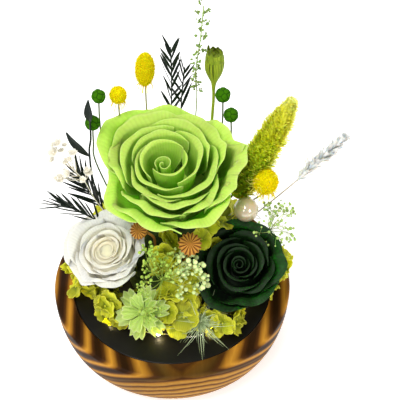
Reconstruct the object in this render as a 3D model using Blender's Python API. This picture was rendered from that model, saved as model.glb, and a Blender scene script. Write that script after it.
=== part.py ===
"""Preserved flowers on a turned wooden base, in metres, +Z up, origin at the centre of the base's foot.

The arrangement is seen from the front along +Y. A green rose, a white rose and a dark rose stand in a
mound of floral foam on a black plate, with hydrangea, small heads, sprays and a lit wire around them.
"""

import itertools
import math
import random

import bpy
from mathutils import Matrix, Vector
from mathutils.bvhtree import BVHTree

MM = 0.001

# Clearance between pieces, and the thickness of petals and leaves
GAP = 0.3 * MM
BLADE = 0.7 * MM

# The turned base: its wall curves in from the rim to the waist, and ends in a chamfered foot
BASE_RADIUS = 62 * MM
BASE_HEIGHT = 34 * MM
BASE_SIDES = 24
WAIST_RADIUS = 54 * MM
WALL_TOP = 33 * MM
WALL_DROP = 27 * MM
RIM_EDGE = 1.2 * MM
FOOT_RADIUS = 46 * MM
FOOT_EDGE = 4 * MM
FOOT_LIFT = 1.8 * MM

# The plate let into the top, and the hole for the light wire through plate and base
PLATE_RADIUS = 52 * MM
PLATE_THICKNESS = 3 * MM
PLATE_TOP = 32 * MM
PLATE_EDGE = 0.5 * MM
SEAT_LIP = 0.6 * MM
LEAD_HOLE = Vector((-8, 28.5, 0)) * MM
LEAD_HOLE_RADIUS = 1.4 * MM

# The battery recess under the base
RECESS_RADIUS = 32 * MM
RECESS_DEPTH = 16 * MM
COVER_THICKNESS = 2 * MM
HOLDER_LENGTH = 52 * MM
HOLDER_WIDTH = 26 * MM
HOLDER_WALL = 2 * MM
WELL_DEPTH = 10.7 * MM
CELL_RADIUS = 5.1 * MM
CELL_LENGTH = 43 * MM
CELL_PITCH = 10.8 * MM
CELL_TIP_RADIUS = 2.2 * MM
CELL_TIP = 1.4 * MM

# The foam mound
FOAM_CENTRE = Vector((0, 6, 0)) * MM
FOAM_RADIUS = 23 * MM
FOAM_HEIGHT = 27 * MM
FOAM_POWER = 2.6

# The light wire: its ring round the foam, with small waves and a bulge at the front left, and its beads
WIRE_RADIUS = 0.5 * MM
BEAD_RADIUS = 1.2 * MM
WIRE_RING = 38.5 * MM
WIRE_TURN = (112, 318)
WIRE_BULGE = 5 * MM
BULGE_ANGLE = 222
BULGE_SPREAD = 20
BEADS = 7
BEAD_PITCH = 38.4
FIRST_BEAD = 145

# Where each bloom's receptacle stands, which way the bloom faces, and its size
GREEN_ROSE = {
    "foot": (2.5, 18.4, 76.0), "faces": (-0.05, -0.19, 0.98), "stem_in": (1, 14, 46),
    "radius": 34.0, "height": 38,
}
WHITE_ROSE = {
    "foot": (-27.2, -4.8, 50.4), "faces": (-0.22, -0.27, 0.94), "stem_in": (-11, 0, 42),
    "radius": 19.6, "height": 22,
}
DARK_ROSE = {
    "foot": (34.3, -8.0, 46.0), "faces": (0.02, -0.42, 0.91), "stem_in": (13, -1, 40),
    "radius": 20.8, "height": 26,
}

# Each layer: petals, shares of the bloom for rim radius, rim height and root radius, lip in mm, turn in
# degrees
OPEN_LAYERS = (
    (3, 0.32, 1.00, 0.14, 0.6, 80),
    (3, 0.51, 0.98, 0.22, 0.9, 20),
    (4, 0.74, 0.91, 0.31, 1.4, 65),
    (5, 1.00, 0.79, 0.39, 2.4, 20),
)
CUPPED_LAYERS = (
    (3, 0.42, 0.88, 0.19, 0.3, 70),
    (4, 0.72, 1.00, 0.30, 0.8, 30),
    (5, 1.00, 0.94, 0.40, 1.6, 5),
)
DARK_LAYERS = (
    (3, 0.42, 1.00, 0.19, 0.5, 0),
    (4, 0.72, 0.92, 0.30, 1.1, 55),
    (5, 1.00, 0.78, 0.40, 1.8, 25),
)

COLOURS = {
    "wood": ((0.36, 0.17, 0.05, 1), 0.45, 0),
    "plate_black": ((0.012, 0.011, 0.012, 1), 0.35, 0),
    "foam_green": ((0.05, 0.10, 0.04, 1), 0.95, 0),
    "plastic_black": ((0.02, 0.02, 0.02, 1), 0.5, 0),
    "cell_steel": ((0.55, 0.55, 0.56, 1), 0.35, 1),
    "wire_silver": ((0.75, 0.74, 0.70, 1), 0.3, 1),
    "rose_green": ((0.42, 0.68, 0.12, 1), 0.6, 0),
    "rose_white": ((0.86, 0.84, 0.78, 1), 0.6, 0),
    "rose_dark": ((0.010, 0.045, 0.014, 1), 0.5, 0),
    "calyx_green": ((0.12, 0.24, 0.05, 1), 0.7, 0),
    "hydrangea_lime": ((0.55, 0.60, 0.04, 1), 0.6, 0),
    "poppy_brown": ((0.62, 0.33, 0.12, 1), 0.7, 0),
    "pearl_cream": ((0.83, 0.74, 0.60, 1), 0.15, 0),
    "fluff_yellow": ((0.82, 0.72, 0.02, 1), 0.9, 0),
    "tail_olive": ((0.52, 0.53, 0.03, 1), 0.9, 0),
    "ball_green": ((0.04, 0.24, 0.02, 1), 0.7, 0),
    "pod_green": ((0.33, 0.45, 0.06, 1), 0.6, 0),
    "leaf_dark": ((0.012, 0.03, 0.018, 1), 0.5, 0),
    "mist_lime": ((0.62, 0.80, 0.30, 1), 0.7, 0),
    "bleached": ((0.82, 0.78, 0.70, 1), 0.8, 0),
    "star_mint": ((0.48, 0.74, 0.34, 1), 0.55, 0),
    "air_plant": ((0.36, 0.46, 0.30, 1), 0.7, 0),
}

# Leaves, florets and buds follow each other round a stem by the golden angle. One that would cross a
# finished piece is tried again elsewhere, up to this many times.
GOLDEN_TURN = 2.4
TRIES = 40
SCENE_ROOT = "flower_arrangement"

made = []
foam_holes = []


def mm(*xyz):
    return Vector(xyz) * MM


def clear_scene():
    for obj in list(bpy.data.objects):
        bpy.data.objects.remove(obj)


def material(slot):
    found = bpy.data.materials.get(slot)
    if found:
        return found
    colour, roughness, metallic = COLOURS[slot]
    made_here = bpy.data.materials.new(slot)
    made_here.use_nodes = True
    shader = made_here.node_tree.nodes["Principled BSDF"]
    shader.inputs["Base Color"].default_value = colour
    shader.inputs["Roughness"].default_value = roughness
    shader.inputs["Metallic"].default_value = metallic
    return made_here


# Closed meshes as lists of points and triangles

def outward(points, faces):
    """The same closed mesh with its faces turned to point out."""
    volume = sum(points[a].dot(points[b].cross(points[c])) for a, b, c in faces)
    if volume < 0:
        faces = [(a, c, b) for a, b, c in faces]
    return points, faces


def moved(shape, matrix):
    points, faces = shape
    return [matrix @ p for p in points], faces


def facing(direction, origin=(0, 0, 0), turn=0.0):
    """The matrix that takes local +Z to a direction and the local origin to a point."""
    spin = Matrix.Rotation(turn, 4, "Z")
    aim = Vector(direction).to_track_quat("Z", "Y").to_matrix().to_4x4()
    return Matrix.Translation(Vector(origin)) @ aim @ spin


def frames_along(path):
    """Two unit vectors across a path at each point, carried along it without twist."""
    tangents = []
    for i in range(len(path)):
        ahead = path[min(i + 1, len(path) - 1)]
        behind = path[max(i - 1, 0)]
        tangents.append((ahead - behind).normalized())
    side = tangents[0].orthogonal().normalized()
    pairs = []
    for tangent in tangents:
        side = (side - tangent * side.dot(tangent)).normalized()
        pairs.append((side, tangent.cross(side)))
    return pairs


def skin(path, radii, sides, relief=None, points_at=""):
    """A round body along a path, closed flat at its ends, or in a point where points_at names the end.

    relief(ring, side) multiplies the radius there. Each square is split between its two lower corners,
    so that a raised point stands as a small pyramid."""
    pairs = frames_along(path)
    rings = range("start" in points_at, len(path) - ("end" in points_at))
    height = {}
    points = []
    for i in rings:
        across, up = pairs[i]
        for j in range(sides):
            angle = 2 * math.pi * j / sides
            share = relief(i, j) if relief else 1.0
            height[(i, j)] = share
            points.append(path[i] + (across * math.cos(angle) + up * math.sin(angle)) * radii[i] * share)
    index = {(i, j): n * sides + j for n, i in enumerate(rings) for j in range(sides)}
    faces = []
    for end, ring, name in ((0, rings[0], "start"), (-1, rings[-1], "end")):
        corners = [index[(ring, j)] for j in range(sides)]
        if end == 0:
            corners.reverse()
        if name in points_at:
            points.append(path[end].copy())
            faces += [(len(points) - 1, corners[j - 1], corners[j]) for j in range(sides)]
        else:
            faces += [(corners[0], corners[j], corners[j + 1]) for j in range(1, sides - 1)]
    for j in range(sides):
        k = (j + 1) % sides
        for i in rings[:-1]:
            a, b, c, d = (i, j), (i, k), (i + 1, k), (i + 1, j)
            corners = [index[q] for q in (a, b, c, d)]
            if height[a] + height[c] <= height[b] + height[d]:
                faces += [(corners[0], corners[1], corners[2]), (corners[0], corners[2], corners[3])]
            else:
                faces += [(corners[0], corners[1], corners[3]), (corners[1], corners[2], corners[3])]
    return outward(points, faces)


def sheet(across, along, point, thickness):
    """A thin curved sheet: point(s, v) with s from -1 to 1 and v from 0 to 1, split alike on both faces."""
    grid = [[point(-1 + 2 * i / across, j / along) for j in range(along + 1)] for i in range(across + 1)]
    top, bottom = [], []
    for i in range(across + 1):
        for j in range(along + 1):
            du = grid[min(i + 1, across)][j] - grid[max(i - 1, 0)][j]
            dv = grid[i][min(j + 1, along)] - grid[i][max(j - 1, 0)]
            normal = du.cross(dv).normalized()
            top.append(grid[i][j] + normal * thickness / 2)
            bottom.append(grid[i][j] - normal * thickness / 2)
    count = len(top)
    row = along + 1
    faces = []
    for i in range(across):
        for j in range(along):
            a, b = i * row + j, (i + 1) * row + j
            for tri in ((a, b, b + 1), (a, b + 1, a + 1)):
                faces.append(tri)
                faces.append(tuple(count + q for q in reversed(tri)))
    rim = [i * row for i in range(across)] + [across * row + j for j in range(along)]
    rim += [i * row + along for i in range(across, 0, -1)] + [j for j in range(along, 0, -1)]
    for n, a in enumerate(rim):
        b = rim[(n + 1) % len(rim)]
        faces += [(b, a, count + a), (b, count + a, count + b)]
    return outward(top + bottom, faces)


def rosette(outline, rise, thickness):
    """A flat lobed flower from its rim's radii, with rise(share of the radius, angle) as its height."""
    count = len(outline)
    reach = max(outline)
    top = [Vector((0, 0, rise(0, 0) + thickness / 2))]
    for n, r in enumerate(outline):
        angle = 2 * math.pi * n / count
        height = rise(r / reach, angle) + thickness / 2
        top.append(Vector((r * math.cos(angle), r * math.sin(angle), height)))
    size = len(top)
    bottom = [p - Vector((0, 0, thickness)) for p in top]
    faces = []
    for n in range(count):
        a, b = 1 + n, 1 + (n + 1) % count
        faces += [(0, a, b), (size, size + b, size + a)]
        faces += [(b, a, size + a), (b, size + a, size + b)]
    return outward(top + bottom, faces)


def turned(profile, sides, centre=(0, 0)):
    """A solid of revolution about a vertical axis from (radius, height) points between two poles."""
    points, faces = [], []
    for r, z in profile[1:-1]:
        for j in range(sides):
            angle = 2 * math.pi * j / sides
            points.append(Vector((centre[0] + r * math.cos(angle), centre[1] + r * math.sin(angle), z)))
    first, last = len(points), len(points) + 1
    points += [Vector((centre[0], centre[1], profile[0][1])), Vector((centre[0], centre[1], profile[-1][1]))]
    rings = len(profile) - 2
    for j in range(sides):
        k = (j + 1) % sides
        faces += [(first, k, j), (last, (rings - 1) * sides + j, (rings - 1) * sides + k)]
        for i in range(rings - 1):
            a, b = i * sides + j, i * sides + k
            faces += [(a, b, b + sides), (a, b + sides, a + sides)]
    return outward(points, faces)


def smooth_path(points, steps=3):
    """Points on a smooth curve through the given ones."""
    if len(points) < 3 or steps < 2:
        return [p.copy() for p in points]
    ends = [points[0] * 2 - points[1]] + list(points) + [points[-1] * 2 - points[-2]]
    path = []
    for i in range(1, len(ends) - 2):
        p0, p1, p2, p3 = ends[i - 1:i + 3]
        for n in range(steps):
            t = n / steps
            bend = (p1 * 2) + (p2 - p0) * t + (p0 * 2 - p1 * 5 + p2 * 4 - p3) * t * t
            path.append((bend + (p1 * 3 - p0 - p2 * 3 + p3) * t ** 3) / 2)
    return path + [points[-1].copy()]


# Objects

def build(name, shape, slot, collection=None):
    mesh = bpy.data.meshes.new(name)
    points, faces = shape
    mesh.from_pydata([tuple(p) for p in points], [], [tuple(f) for f in faces])
    mesh.update()
    obj = bpy.data.objects.new(name, mesh)
    mesh.materials.append(material(slot))
    (collection or bpy.context.scene.collection).objects.link(obj)
    return obj


def keep(obj):
    """Counts the object as finished, and as something that later pieces have to stay clear of."""
    obj.parent = bpy.data.objects[SCENE_ROOT]
    bpy.context.view_layer.update()
    points = [obj.matrix_world @ v.co for v in obj.data.vertices]
    made.append(BVHTree.FromPolygons(points, [tuple(p.vertices) for p in obj.data.polygons]))
    return obj


def apply_modifiers(obj):
    graph = bpy.context.evaluated_depsgraph_get()
    result = bpy.data.meshes.new_from_object(obj.evaluated_get(graph))
    obj.modifiers.clear()
    obj.data = result


def fused(name, shapes, slot, operation="UNION"):
    """One object from closed shapes: the first with all the others joined to it or cut from it."""
    body = build(name, shapes[0], slot)
    if len(shapes) > 1:
        group = bpy.data.collections.new(name + "_pieces")
        bpy.context.scene.collection.children.link(group)
        for n, shape in enumerate(shapes[1:]):
            build(f"{name}_piece_{n}", shape, slot, group)
        cut = body.modifiers.new("join", "BOOLEAN")
        cut.operation = operation
        cut.solver = "EXACT"
        cut.operand_type = "COLLECTION"
        cut.collection = group
        bpy.context.view_layer.update()
        apply_modifiers(body)
        for piece in list(group.objects):
            bpy.data.objects.remove(piece)
        bpy.data.collections.remove(group)
    return body


def is_clear(shape):
    """True if a shape crosses none of the finished objects."""
    tree = BVHTree.FromPolygons(*shape)
    return not any(tree.overlap(other) for other in made)


# The holder

def base_profile():
    """Outline of the wooden base, from the battery recess round the foot and the wall to the plate's seat."""
    wall = []
    for n in range(6):
        a = n / 5 * math.pi / 2
        r = WAIST_RADIUS + (BASE_RADIUS - WAIST_RADIUS) * math.cos(a)
        wall.append((r, WALL_TOP - WALL_DROP * math.sin(a)))
    seat = PLATE_TOP - PLATE_THICKNESS - GAP
    inner = [(0, RECESS_DEPTH), (RECESS_RADIUS, RECESS_DEPTH), (RECESS_RADIUS, 0), (FOOT_RADIUS, 0)]
    inner += [(FOOT_RADIUS + FOOT_EDGE, FOOT_LIFT)]
    top = [(BASE_RADIUS - RIM_EDGE, BASE_HEIGHT), (PLATE_RADIUS + GAP, PLATE_TOP + SEAT_LIP)]
    return inner + wall[::-1] + top + [(PLATE_RADIUS + GAP, seat), (0, seat)]


def make_base():
    hole = skin([LEAD_HOLE + mm(0, 0, 10), LEAD_HOLE + mm(0, 0, 40)], [LEAD_HOLE_RADIUS] * 2, 8)
    keep(fused("wooden_base", [turned(base_profile(), BASE_SIDES), hole], "wood", "DIFFERENCE"))
    low = PLATE_TOP - PLATE_THICKNESS
    profile = [(0, low), (PLATE_RADIUS, low), (PLATE_RADIUS, PLATE_TOP - PLATE_EDGE)]
    profile += [(PLATE_RADIUS - PLATE_EDGE, PLATE_TOP), (0, PLATE_TOP)]
    keep(fused("black_plate", [turned(profile, BASE_SIDES), hole], "plate_black", "DIFFERENCE"))


def box(low, high):
    points = [Vector((x, y, z)) for x, y, z in itertools.product(*zip(low, high))]
    quads = [(0, 1, 3, 2), (4, 6, 7, 5), (0, 4, 5, 1), (2, 3, 7, 6), (0, 2, 6, 4), (1, 5, 7, 3)]
    return outward(points, [t for a, b, c, d in quads for t in ((a, b, c), (a, c, d))])


def make_battery():
    """A holder with two slim cells hangs under the plate and a flush cover closes the recess."""
    low, high = COVER_THICKNESS + GAP, RECESS_DEPTH - GAP
    x, y = HOLDER_LENGTH / 2, HOLDER_WIDTH / 2
    holder = box((-x, -y, low), (x, y, high))
    x, y = x - HOLDER_WALL, y - HOLDER_WALL
    well = box((-x, -y, -1 * MM), (x, y, low + WELL_DEPTH))
    keep(fused("battery_holder", [holder, well], "plastic_black", "DIFFERENCE"))
    shoulder = 0.05 * MM
    for n, y in enumerate((-CELL_PITCH / 2, CELL_PITCH / 2)):
        start = Vector((-CELL_LENGTH / 2 - CELL_TIP / 2, y, low + CELL_RADIUS + 0.1 * MM))
        along = (0, CELL_LENGTH, CELL_LENGTH + shoulder, CELL_LENGTH + CELL_TIP)
        path = [start + Vector((x, 0, 0)) for x in along]
        radii = [CELL_RADIUS, CELL_RADIUS, CELL_TIP_RADIUS, CELL_TIP_RADIUS]
        keep(build(f"battery_cell_{n + 1}", skin(path, radii, 12), "cell_steel"))
    radius = RECESS_RADIUS - GAP
    profile = [(0, 0), (radius, 0), (radius, COVER_THICKNESS), (0, COVER_THICKNESS)]
    keep(build("battery_cover", turned(profile, 24), "plastic_black"))


def foam_shape():
    profile = [(0, PLATE_TOP + GAP)]
    for share in (0.0, 0.5, 0.78, 0.94):
        z = share * FOAM_HEIGHT
        profile.append((FOAM_RADIUS * (1 - share ** FOAM_POWER) ** (1 / FOAM_POWER), PLATE_TOP + GAP + z))
    profile.append((0, PLATE_TOP + GAP + FOAM_HEIGHT))
    return turned(profile, 14, FOAM_CENTRE)


def light_route():
    """The lit wire leaves its hole at the back, lies round the foam on the plate and ends at the back.

    Each place comes with the radius there, so that the beads of the lights are part of the wire's skin."""
    lie = PLATE_TOP + BEAD_RADIUS + GAP
    path = [LEAD_HOLE + mm(0, 0, 15), LEAD_HOLE + mm(0, 0, 32.6), LEAD_HOLE + mm(-1, 2.5, 34.7)]
    radii = [WIRE_RADIUS] * 3
    first, sweep = WIRE_TURN
    angles = [(first + sweep * n / 18, WIRE_RADIUS) for n in range(19)]
    for bead in range(BEADS):
        middle = FIRST_BEAD + BEAD_PITCH * bead
        angles = [entry for entry in angles if abs(entry[0] - middle) > 5]
        angles += [(middle - 2.7, WIRE_RADIUS), (middle - 1.4, BEAD_RADIUS)]
        angles += [(middle + 1.4, BEAD_RADIUS), (middle + 2.7, WIRE_RADIUS)]
    for degrees, radius in sorted(angles):
        angle = math.radians(degrees)
        reach = WIRE_RING + (1.6 * math.sin(4 * angle) + 0.8 * math.sin(9 * angle)) * MM
        reach += WIRE_BULGE * math.exp(-((degrees - BULGE_ANGLE) / BULGE_SPREAD) ** 2)
        hop = (0.5 + 0.5 * math.sin(5 * angle)) * MM
        path.append(Vector((reach * math.cos(angle), reach * math.sin(angle) + 2 * MM, lie + hop)))
        radii.append(radius)
    return path, radii


def make_lights():
    path, radii = light_route()
    keep(build("light_wire", skin(path, radii, 3), "wire_silver"))


# Stems

def stem(inner, onward, radius=WIRE_RADIUS, sides=3, steps=2):
    """A stem from a point inside the foam, straight to the first onward point, then on in a smooth curve."""
    inner = mm(*inner)
    onward = [mm(*p) for p in onward]
    foam_holes.append((inner, onward[0], radius))
    path = [inner] + smooth_path(onward, steps)
    return skin(path, [radius] * len(path), sides)


# Roses

def petal(rose, layer, index, rng, across, along):
    """One petal, cupped round the bloom's axis, from the core to a rounded rim that turns out.

    One side edge runs outside the next petal and the other inside the one before."""
    count, rim, rim_height, root, lip, phase = layer
    radius, height = rose["radius"] * MM, rose["height"] * MM
    half = math.pi / count * 1.2
    middle = math.radians(phase) + 2 * math.pi * index / count
    r0, r1 = root * radius, rim * radius
    z0, z1 = (0.27 - 0.42 * root) * height, rim_height * height * rng.uniform(0.97, 1.02)
    step_out = 1.7 * MM * min(1.0, 0.35 + rim)
    wave = rng.uniform(0, 6.28)

    def point(s, v):
        t = v * (1 - 0.17 * abs(s) ** 3)
        width = 0.3 + 0.7 * math.sin(min(t / 0.7, 1) * math.pi / 2)
        angle = middle + s * half * width
        r = (1 - t) ** 2 * r0 + 2 * t * (1 - t) * (r0 + 0.82 * (r1 - r0)) + t * t * r1
        z = (1 - t) ** 2 * z0 + 2 * t * (1 - t) * (z0 + 0.36 * (z1 - z0)) + t * t * z1
        edge = max(0.0, (t - 0.72) / 0.28)
        r += step_out * s * t + lip * MM * edge ** 2
        z += math.sin(3 * s + wave) * 0.5 * MM * edge * rim - 0.6 * lip * MM * edge ** 2
        return Vector((r * math.cos(angle), r * math.sin(angle), z))

    return sheet(across, along, point, BLADE)


def scroll(rose):
    """The rolled petal at the heart of a bloom, a little over one turn."""
    radius, height = rose["radius"] * MM, rose["height"] * MM

    def point(s, v):
        angle = 1.35 * math.pi * s
        r = (0.085 + 0.05 * s) * radius * (0.75 + 0.35 * v)
        return Vector((r * math.cos(angle), r * math.sin(angle), (0.22 + 0.72 * v - 0.04 * s) * height))

    return sheet(9, 1, point, BLADE)


def rose_core(rose):
    """The solid heart at the foot of a bloom, in which every petal is rooted."""
    radius, height = rose["radius"] * MM, rose["height"] * MM
    outline = ((0.16, 0), (0.50, 0.09), (0.48, 0.21), (0.16, 0.33))
    profile = [(share * radius, rise * height) for share, rise in outline]
    return turned([(0, 0)] + profile + [(0, 0.35 * height)], 7)


def make_rose(name, rose, layers, slot, across, seed):
    rng = random.Random(seed)
    shapes = [rose_core(rose), scroll(rose)]
    for layer in layers:
        along = 2 if layer is layers[0] else 3
        shapes += [petal(rose, layer, index, rng, across, along) for index in range(layer[0])]
    bloom = fused(name, shapes, slot)
    bloom.matrix_world = facing(rose["faces"], mm(*rose["foot"]))
    keep(bloom)
    make_calyx(name + "_calyx", rose)


def make_calyx(name, rose):
    """The green cup with five sepals under a bloom, on the stem that stands in the foam."""
    axis = Vector(rose["faces"]).normalized()
    radius = rose["radius"] * MM
    cup_radius = 0.13 * radius
    top = mm(*rose["foot"]) - axis * GAP
    low = top - axis * 4.4 * MM
    cup = [low, top - axis * 2.6 * MM, top - axis * 0.9 * MM, top]
    shapes = [skin(cup, [1.3 * MM, 0.75 * cup_radius, cup_radius, cup_radius * 0.9], 6)]
    shapes.append(stem(rose["stem_in"], [tuple((low + axis * 0.8 * MM) / MM)], 1.4 * MM))
    sepals = [0.32 * radius * (1.0 if n % 2 == 0 else 0.36) for n in range(10)]
    droop = lambda share, angle: -1.7 * MM - 1.4 * MM * share
    shapes.append(moved(rosette(sepals, droop, BLADE), facing(axis, top)))
    keep(fused(name, shapes, "calyx_green"))


# Heads on wire stems

def ellipse_radii(rings, width):
    return [width / 2 * math.sin(math.pi * n / rings) ** 0.8 for n in range(rings + 1)]


def head(centre, axis, length, width, rings, sides, relief=None):
    axis = Vector(axis).normalized()
    path = [centre + axis * length * (-0.5 * math.cos(math.pi * n / rings)) for n in range(rings + 1)]
    return skin(path, ellipse_radii(rings, width), sides, relief, points_at="start end")


def tufted(amount):
    return lambda i, j: 1.0 + amount * ((i + j) % 2)


def make_yellow_heads():
    """Fluffy yellow heads: a tall one and a round one behind the green rose, a large one at the right."""
    tall_stem = [(-11, 28, 62), (-12, 49, 88), (-12.6, 51, 110)]
    left_stem = [(-18, 24, 62), (-25, 42, 88), (-26, 45, 106)]
    right_stem = [(23, 15, 55), (38, 18, 72), (46, 16.5, 82)]
    heads = (
        ("yellow_head_tall", (-12.4, 51, 134.1), 20, 9.3, 9, 10, (-9, 17, 48), tall_stem),
        ("yellow_head_left", (-25.9, 45, 122.8), 9, 8.2, 6, 8, (-13, 15, 48), left_stem),
        ("yellow_head_right", (47.2, 15, 92.2), 13.5, 12.3, 8, 12, (16, 13, 45), right_stem),
    )
    for name, centre, length, width, rings, sides, inner, via in heads:
        shape = head(mm(*centre), (0.05, 0, 1), length * MM, width * MM, rings, sides, tufted(0.13))
        keep(fused(name, [shape, stem(inner, via + [centre])], "fluff_yellow"))


def make_green_balls():
    balls = (
        ((-34.9, 40, 126.4), 7.0, (-15, 12, 48), [(-21, 19, 62), (-34, 36, 88), (-35.5, 39.5, 108)]),
        ((-37.9, 31, 117), 7.5, (-16, 9, 48), [(-24, 14, 63), (-38, 30, 90), (-38.5, 31, 104)]),
        ((26, 46, 122), 7.6, (8, 18, 48), [(14, 28, 62), (25, 44, 84), (26, 46, 104)]),
        ((30.1, 42, 112.3), 7.4, (11, 16, 48), [(18, 25, 62), (30, 41, 84), (30.5, 42, 98)]),
    )
    for n, (centre, width, inner, via) in enumerate(balls):
        shape = head(mm(*centre), (0, 0.1, 1), width * MM, width * MM, 5, 8, tufted(0.06))
        keep(fused(f"green_ball_{n + 1}", [shape, stem(inner, via + [centre])], "ball_green"))


def make_seed_pod():
    """A six-sided pod, like a closed lily bud, with a ragged open tip."""
    foot = mm(21.4, 51, 125)
    outline = ((0, 1.0), (4.8, 2.6), (9.6, 4.4), (14.4, 4.6), (19.2, 4.1), (23, 3.4), (25.5, 2.6))
    path = [foot + mm(0.02 * z, 0, z) for z, _ in outline]
    ridges = lambda i, j: (1.0, 1.0 - 0.16 * (i > 0) - 0.4 * (i > 5))[j % 2]
    line = [(8, 30, 62), (19, 49, 90), (21.2, 51, 110), (21.4, 51, 127)]
    shapes = [skin(path, [r * MM for _, r in outline], 12, ridges), stem((5, 20, 48), line, 0.8 * MM, 4)]
    keep(fused("seed_pod", shapes, "pod_green"))


def make_foxtail():
    """The long soft grass head that leans to the right."""
    line = [mm(39, 22, 93), mm(45, 24.5, 106), mm(52, 27.5, 119), mm(59, 31, 132)]
    path = smooth_path(line, 4)
    count = len(path) - 1
    radii = [6.1 * MM * math.sin(math.pi * (0.05 + 0.91 * n / count)) ** 0.6 for n in range(count + 1)]
    shapes = [skin(path, radii, 8, tufted(0.2), points_at="start end")]
    shapes.append(stem((14, 15, 46), [(21, 19, 58), (33, 21, 80), tuple(line[1] / MM)]))
    keep(fused("foxtail_grass", shapes, "tail_olive"))


def make_pearl():
    centre = (37.7, 9.5, 77.8)
    shape = head(mm(*centre), (0.2, -0.2, 1), 12.6 * MM, 12.6 * MM, 7, 10)
    keep(fused("pearl", [shape, stem((15, 8, 44), [(23, 9, 53), (31, 11, 68), centre])], "pearl_cream"))


def make_poppy_heads():
    """Two dried poppy heads: a vase with a scalloped, ribbed crown."""
    heads = (
        ("left", (-15.2, -6, 80), (-0.75, -0.25, 0.6), 7.8, (-6, -1, 46), [(-8, -2, 62), (-8.5, -3, 71)]),
        ("middle", (9.8, -18, 83.3), (0.05, -0.5, 0.87), 11.6, (3, -5, 46), [(6, -12, 62), (9, -14, 70)]),
    )
    for name, centre, axis, width, inner, via in heads:
        middle, axis, r = mm(*centre), Vector(axis).normalized(), width * MM / 2
        line = (-1.7, -1.15, -0.5, 0.24)
        radii = (0.25, 0.68, 0.74, 0.45)
        body = skin([middle + axis * d * r for d in line], [q * r for q in radii], 8)
        rim = [r * (1.0 if n % 2 == 0 else 0.86) for n in range(20)]
        ridge = lambda share, angle: r * (0.24 * (1 - share) + 0.12 * math.cos(10 * angle) * share)
        crown = moved(rosette(rim, ridge, 0.9 * MM), facing(axis, middle))
        neck = tuple((middle - axis * 1.5 * r) / MM)
        keep(fused("poppy_head_" + name, [body, crown, stem(inner, via + [neck], 0.7 * MM)], "poppy_brown"))


# Leaves and sprays

def blade(root, tip, width, bow, segments=3):
    """A long leaf from root to tip, widest past the middle, bowed along the given vector."""
    length = (tip - root).length
    across = (tip - root).cross(bow).normalized()

    def point(s, v):
        spread = width / 2 * (0.16 + 0.84 * math.sin(math.pi * min(v ** 0.8, 0.96)))
        fold = bow.normalized() * abs(s) * spread * 0.25
        return root.lerp(tip, v) + bow * 4 * v * (1 - v) + across * s * spread + fold

    return sheet(2, segments, point, max(BLADE, length * 0.02))


def make_long_leaves():
    first, second = (-39.8, 22, 104), (-39.2, 25.5, 113.5)
    shapes = [stem((-15, 7, 46), [(-25, 11, 60), (-37.5, 17, 84), first, second], 0.6 * MM)]
    shapes.append(blade(mm(*first) - mm(0, 0, 1), mm(-49.5, 21, 120), 4.4 * MM, mm(-0.8, -1.5, 1)))
    shapes.append(blade(mm(*second) - mm(0, 0, 1), mm(-39.6, 28, 134.5), 3.6 * MM, mm(-1.5, -1.0, 0.3)))
    keep(fused("long_dark_leaves", shapes, "leaf_dark"))


def needle(root, direction, length, width):
    """A narrow three-sided leaf with both ends pointed, its root sunk in the stem."""
    direction = direction.normalized()
    path = [root, root + direction * length * 0.42, root + direction * length]
    return skin(path, [0, width / 2, 0], 3, points_at="start end")


def spot_along(path, share):
    """The point at a share of a path's points, and the path's direction there."""
    place = share * (len(path) - 1)
    i = min(int(place), len(path) - 2)
    return path[i].lerp(path[i + 1], place - i), (path[i + 1] - path[i]).normalized()


def needle_spray(name, inner, line, count, length, seed):
    """A leafy shoot: narrow leaves in turn round the stem, longest in the middle, closing to the tip."""
    rng = random.Random(seed)
    path = smooth_path([mm(*p) for p in line], 4)
    shapes = [stem(inner, line)]
    for n in range(count):
        share = 0.45 + 0.55 * (n + 0.5) / count
        spot, along = spot_along(path, share)
        out = facing(along, turn=n * GOLDEN_TURN + rng.uniform(-0.2, 0.2)).to_3x3() @ Vector((1, 0, 0))
        spread = 1.3 * (1 - 0.55 * share)
        size = length * MM * (1.15 - 0.35 * share) * rng.uniform(0.8, 1.1)
        leaf = needle(spot, along + out * spread, size, 1.7 * MM)
        if is_clear(leaf):
            shapes.append(leaf)
    keep(fused(name, shapes, "leaf_dark"))


def make_needle_sprays():
    back = [(-6, 29, 62), (-2, 50, 88), (0, 53, 110), (0.5, 53, 130), (0.3, 52, 147)]
    back_right = [(-1, 31, 62), (4, 52, 88), (5, 56, 108), (6, 56, 121), (7, 55, 132)]
    left = [(-24, 5, 50), (-35, 9, 66), (-46, 10, 76), (-55, 9, 82)]
    left_up = [(-25, 12, 54), (-36, 17, 72), (-43.5, 20, 84), (-47, 20, 93)]
    needle_spray("needle_spray_back", (-5, 18, 46), back, 16, 11, 3)
    needle_spray("needle_spray_back_right", (-1, 20, 46), back_right, 13, 11, 4)
    needle_spray("needle_spray_left", (-14, 2, 40), left, 15, 10, 5)
    needle_spray("needle_spray_left_up", (-16, 6, 42), left_up, 14, 10, 6)


def bud(root, end, width, stalk):
    """A thin stalk that ends in a small round bud."""
    way = (end - root).normalized()
    path = [root, end - way * width * 0.5, end, end + way * width * 0.5]
    return skin(path, [stalk, stalk, width * 0.58, 0], 4, points_at="end")


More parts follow.
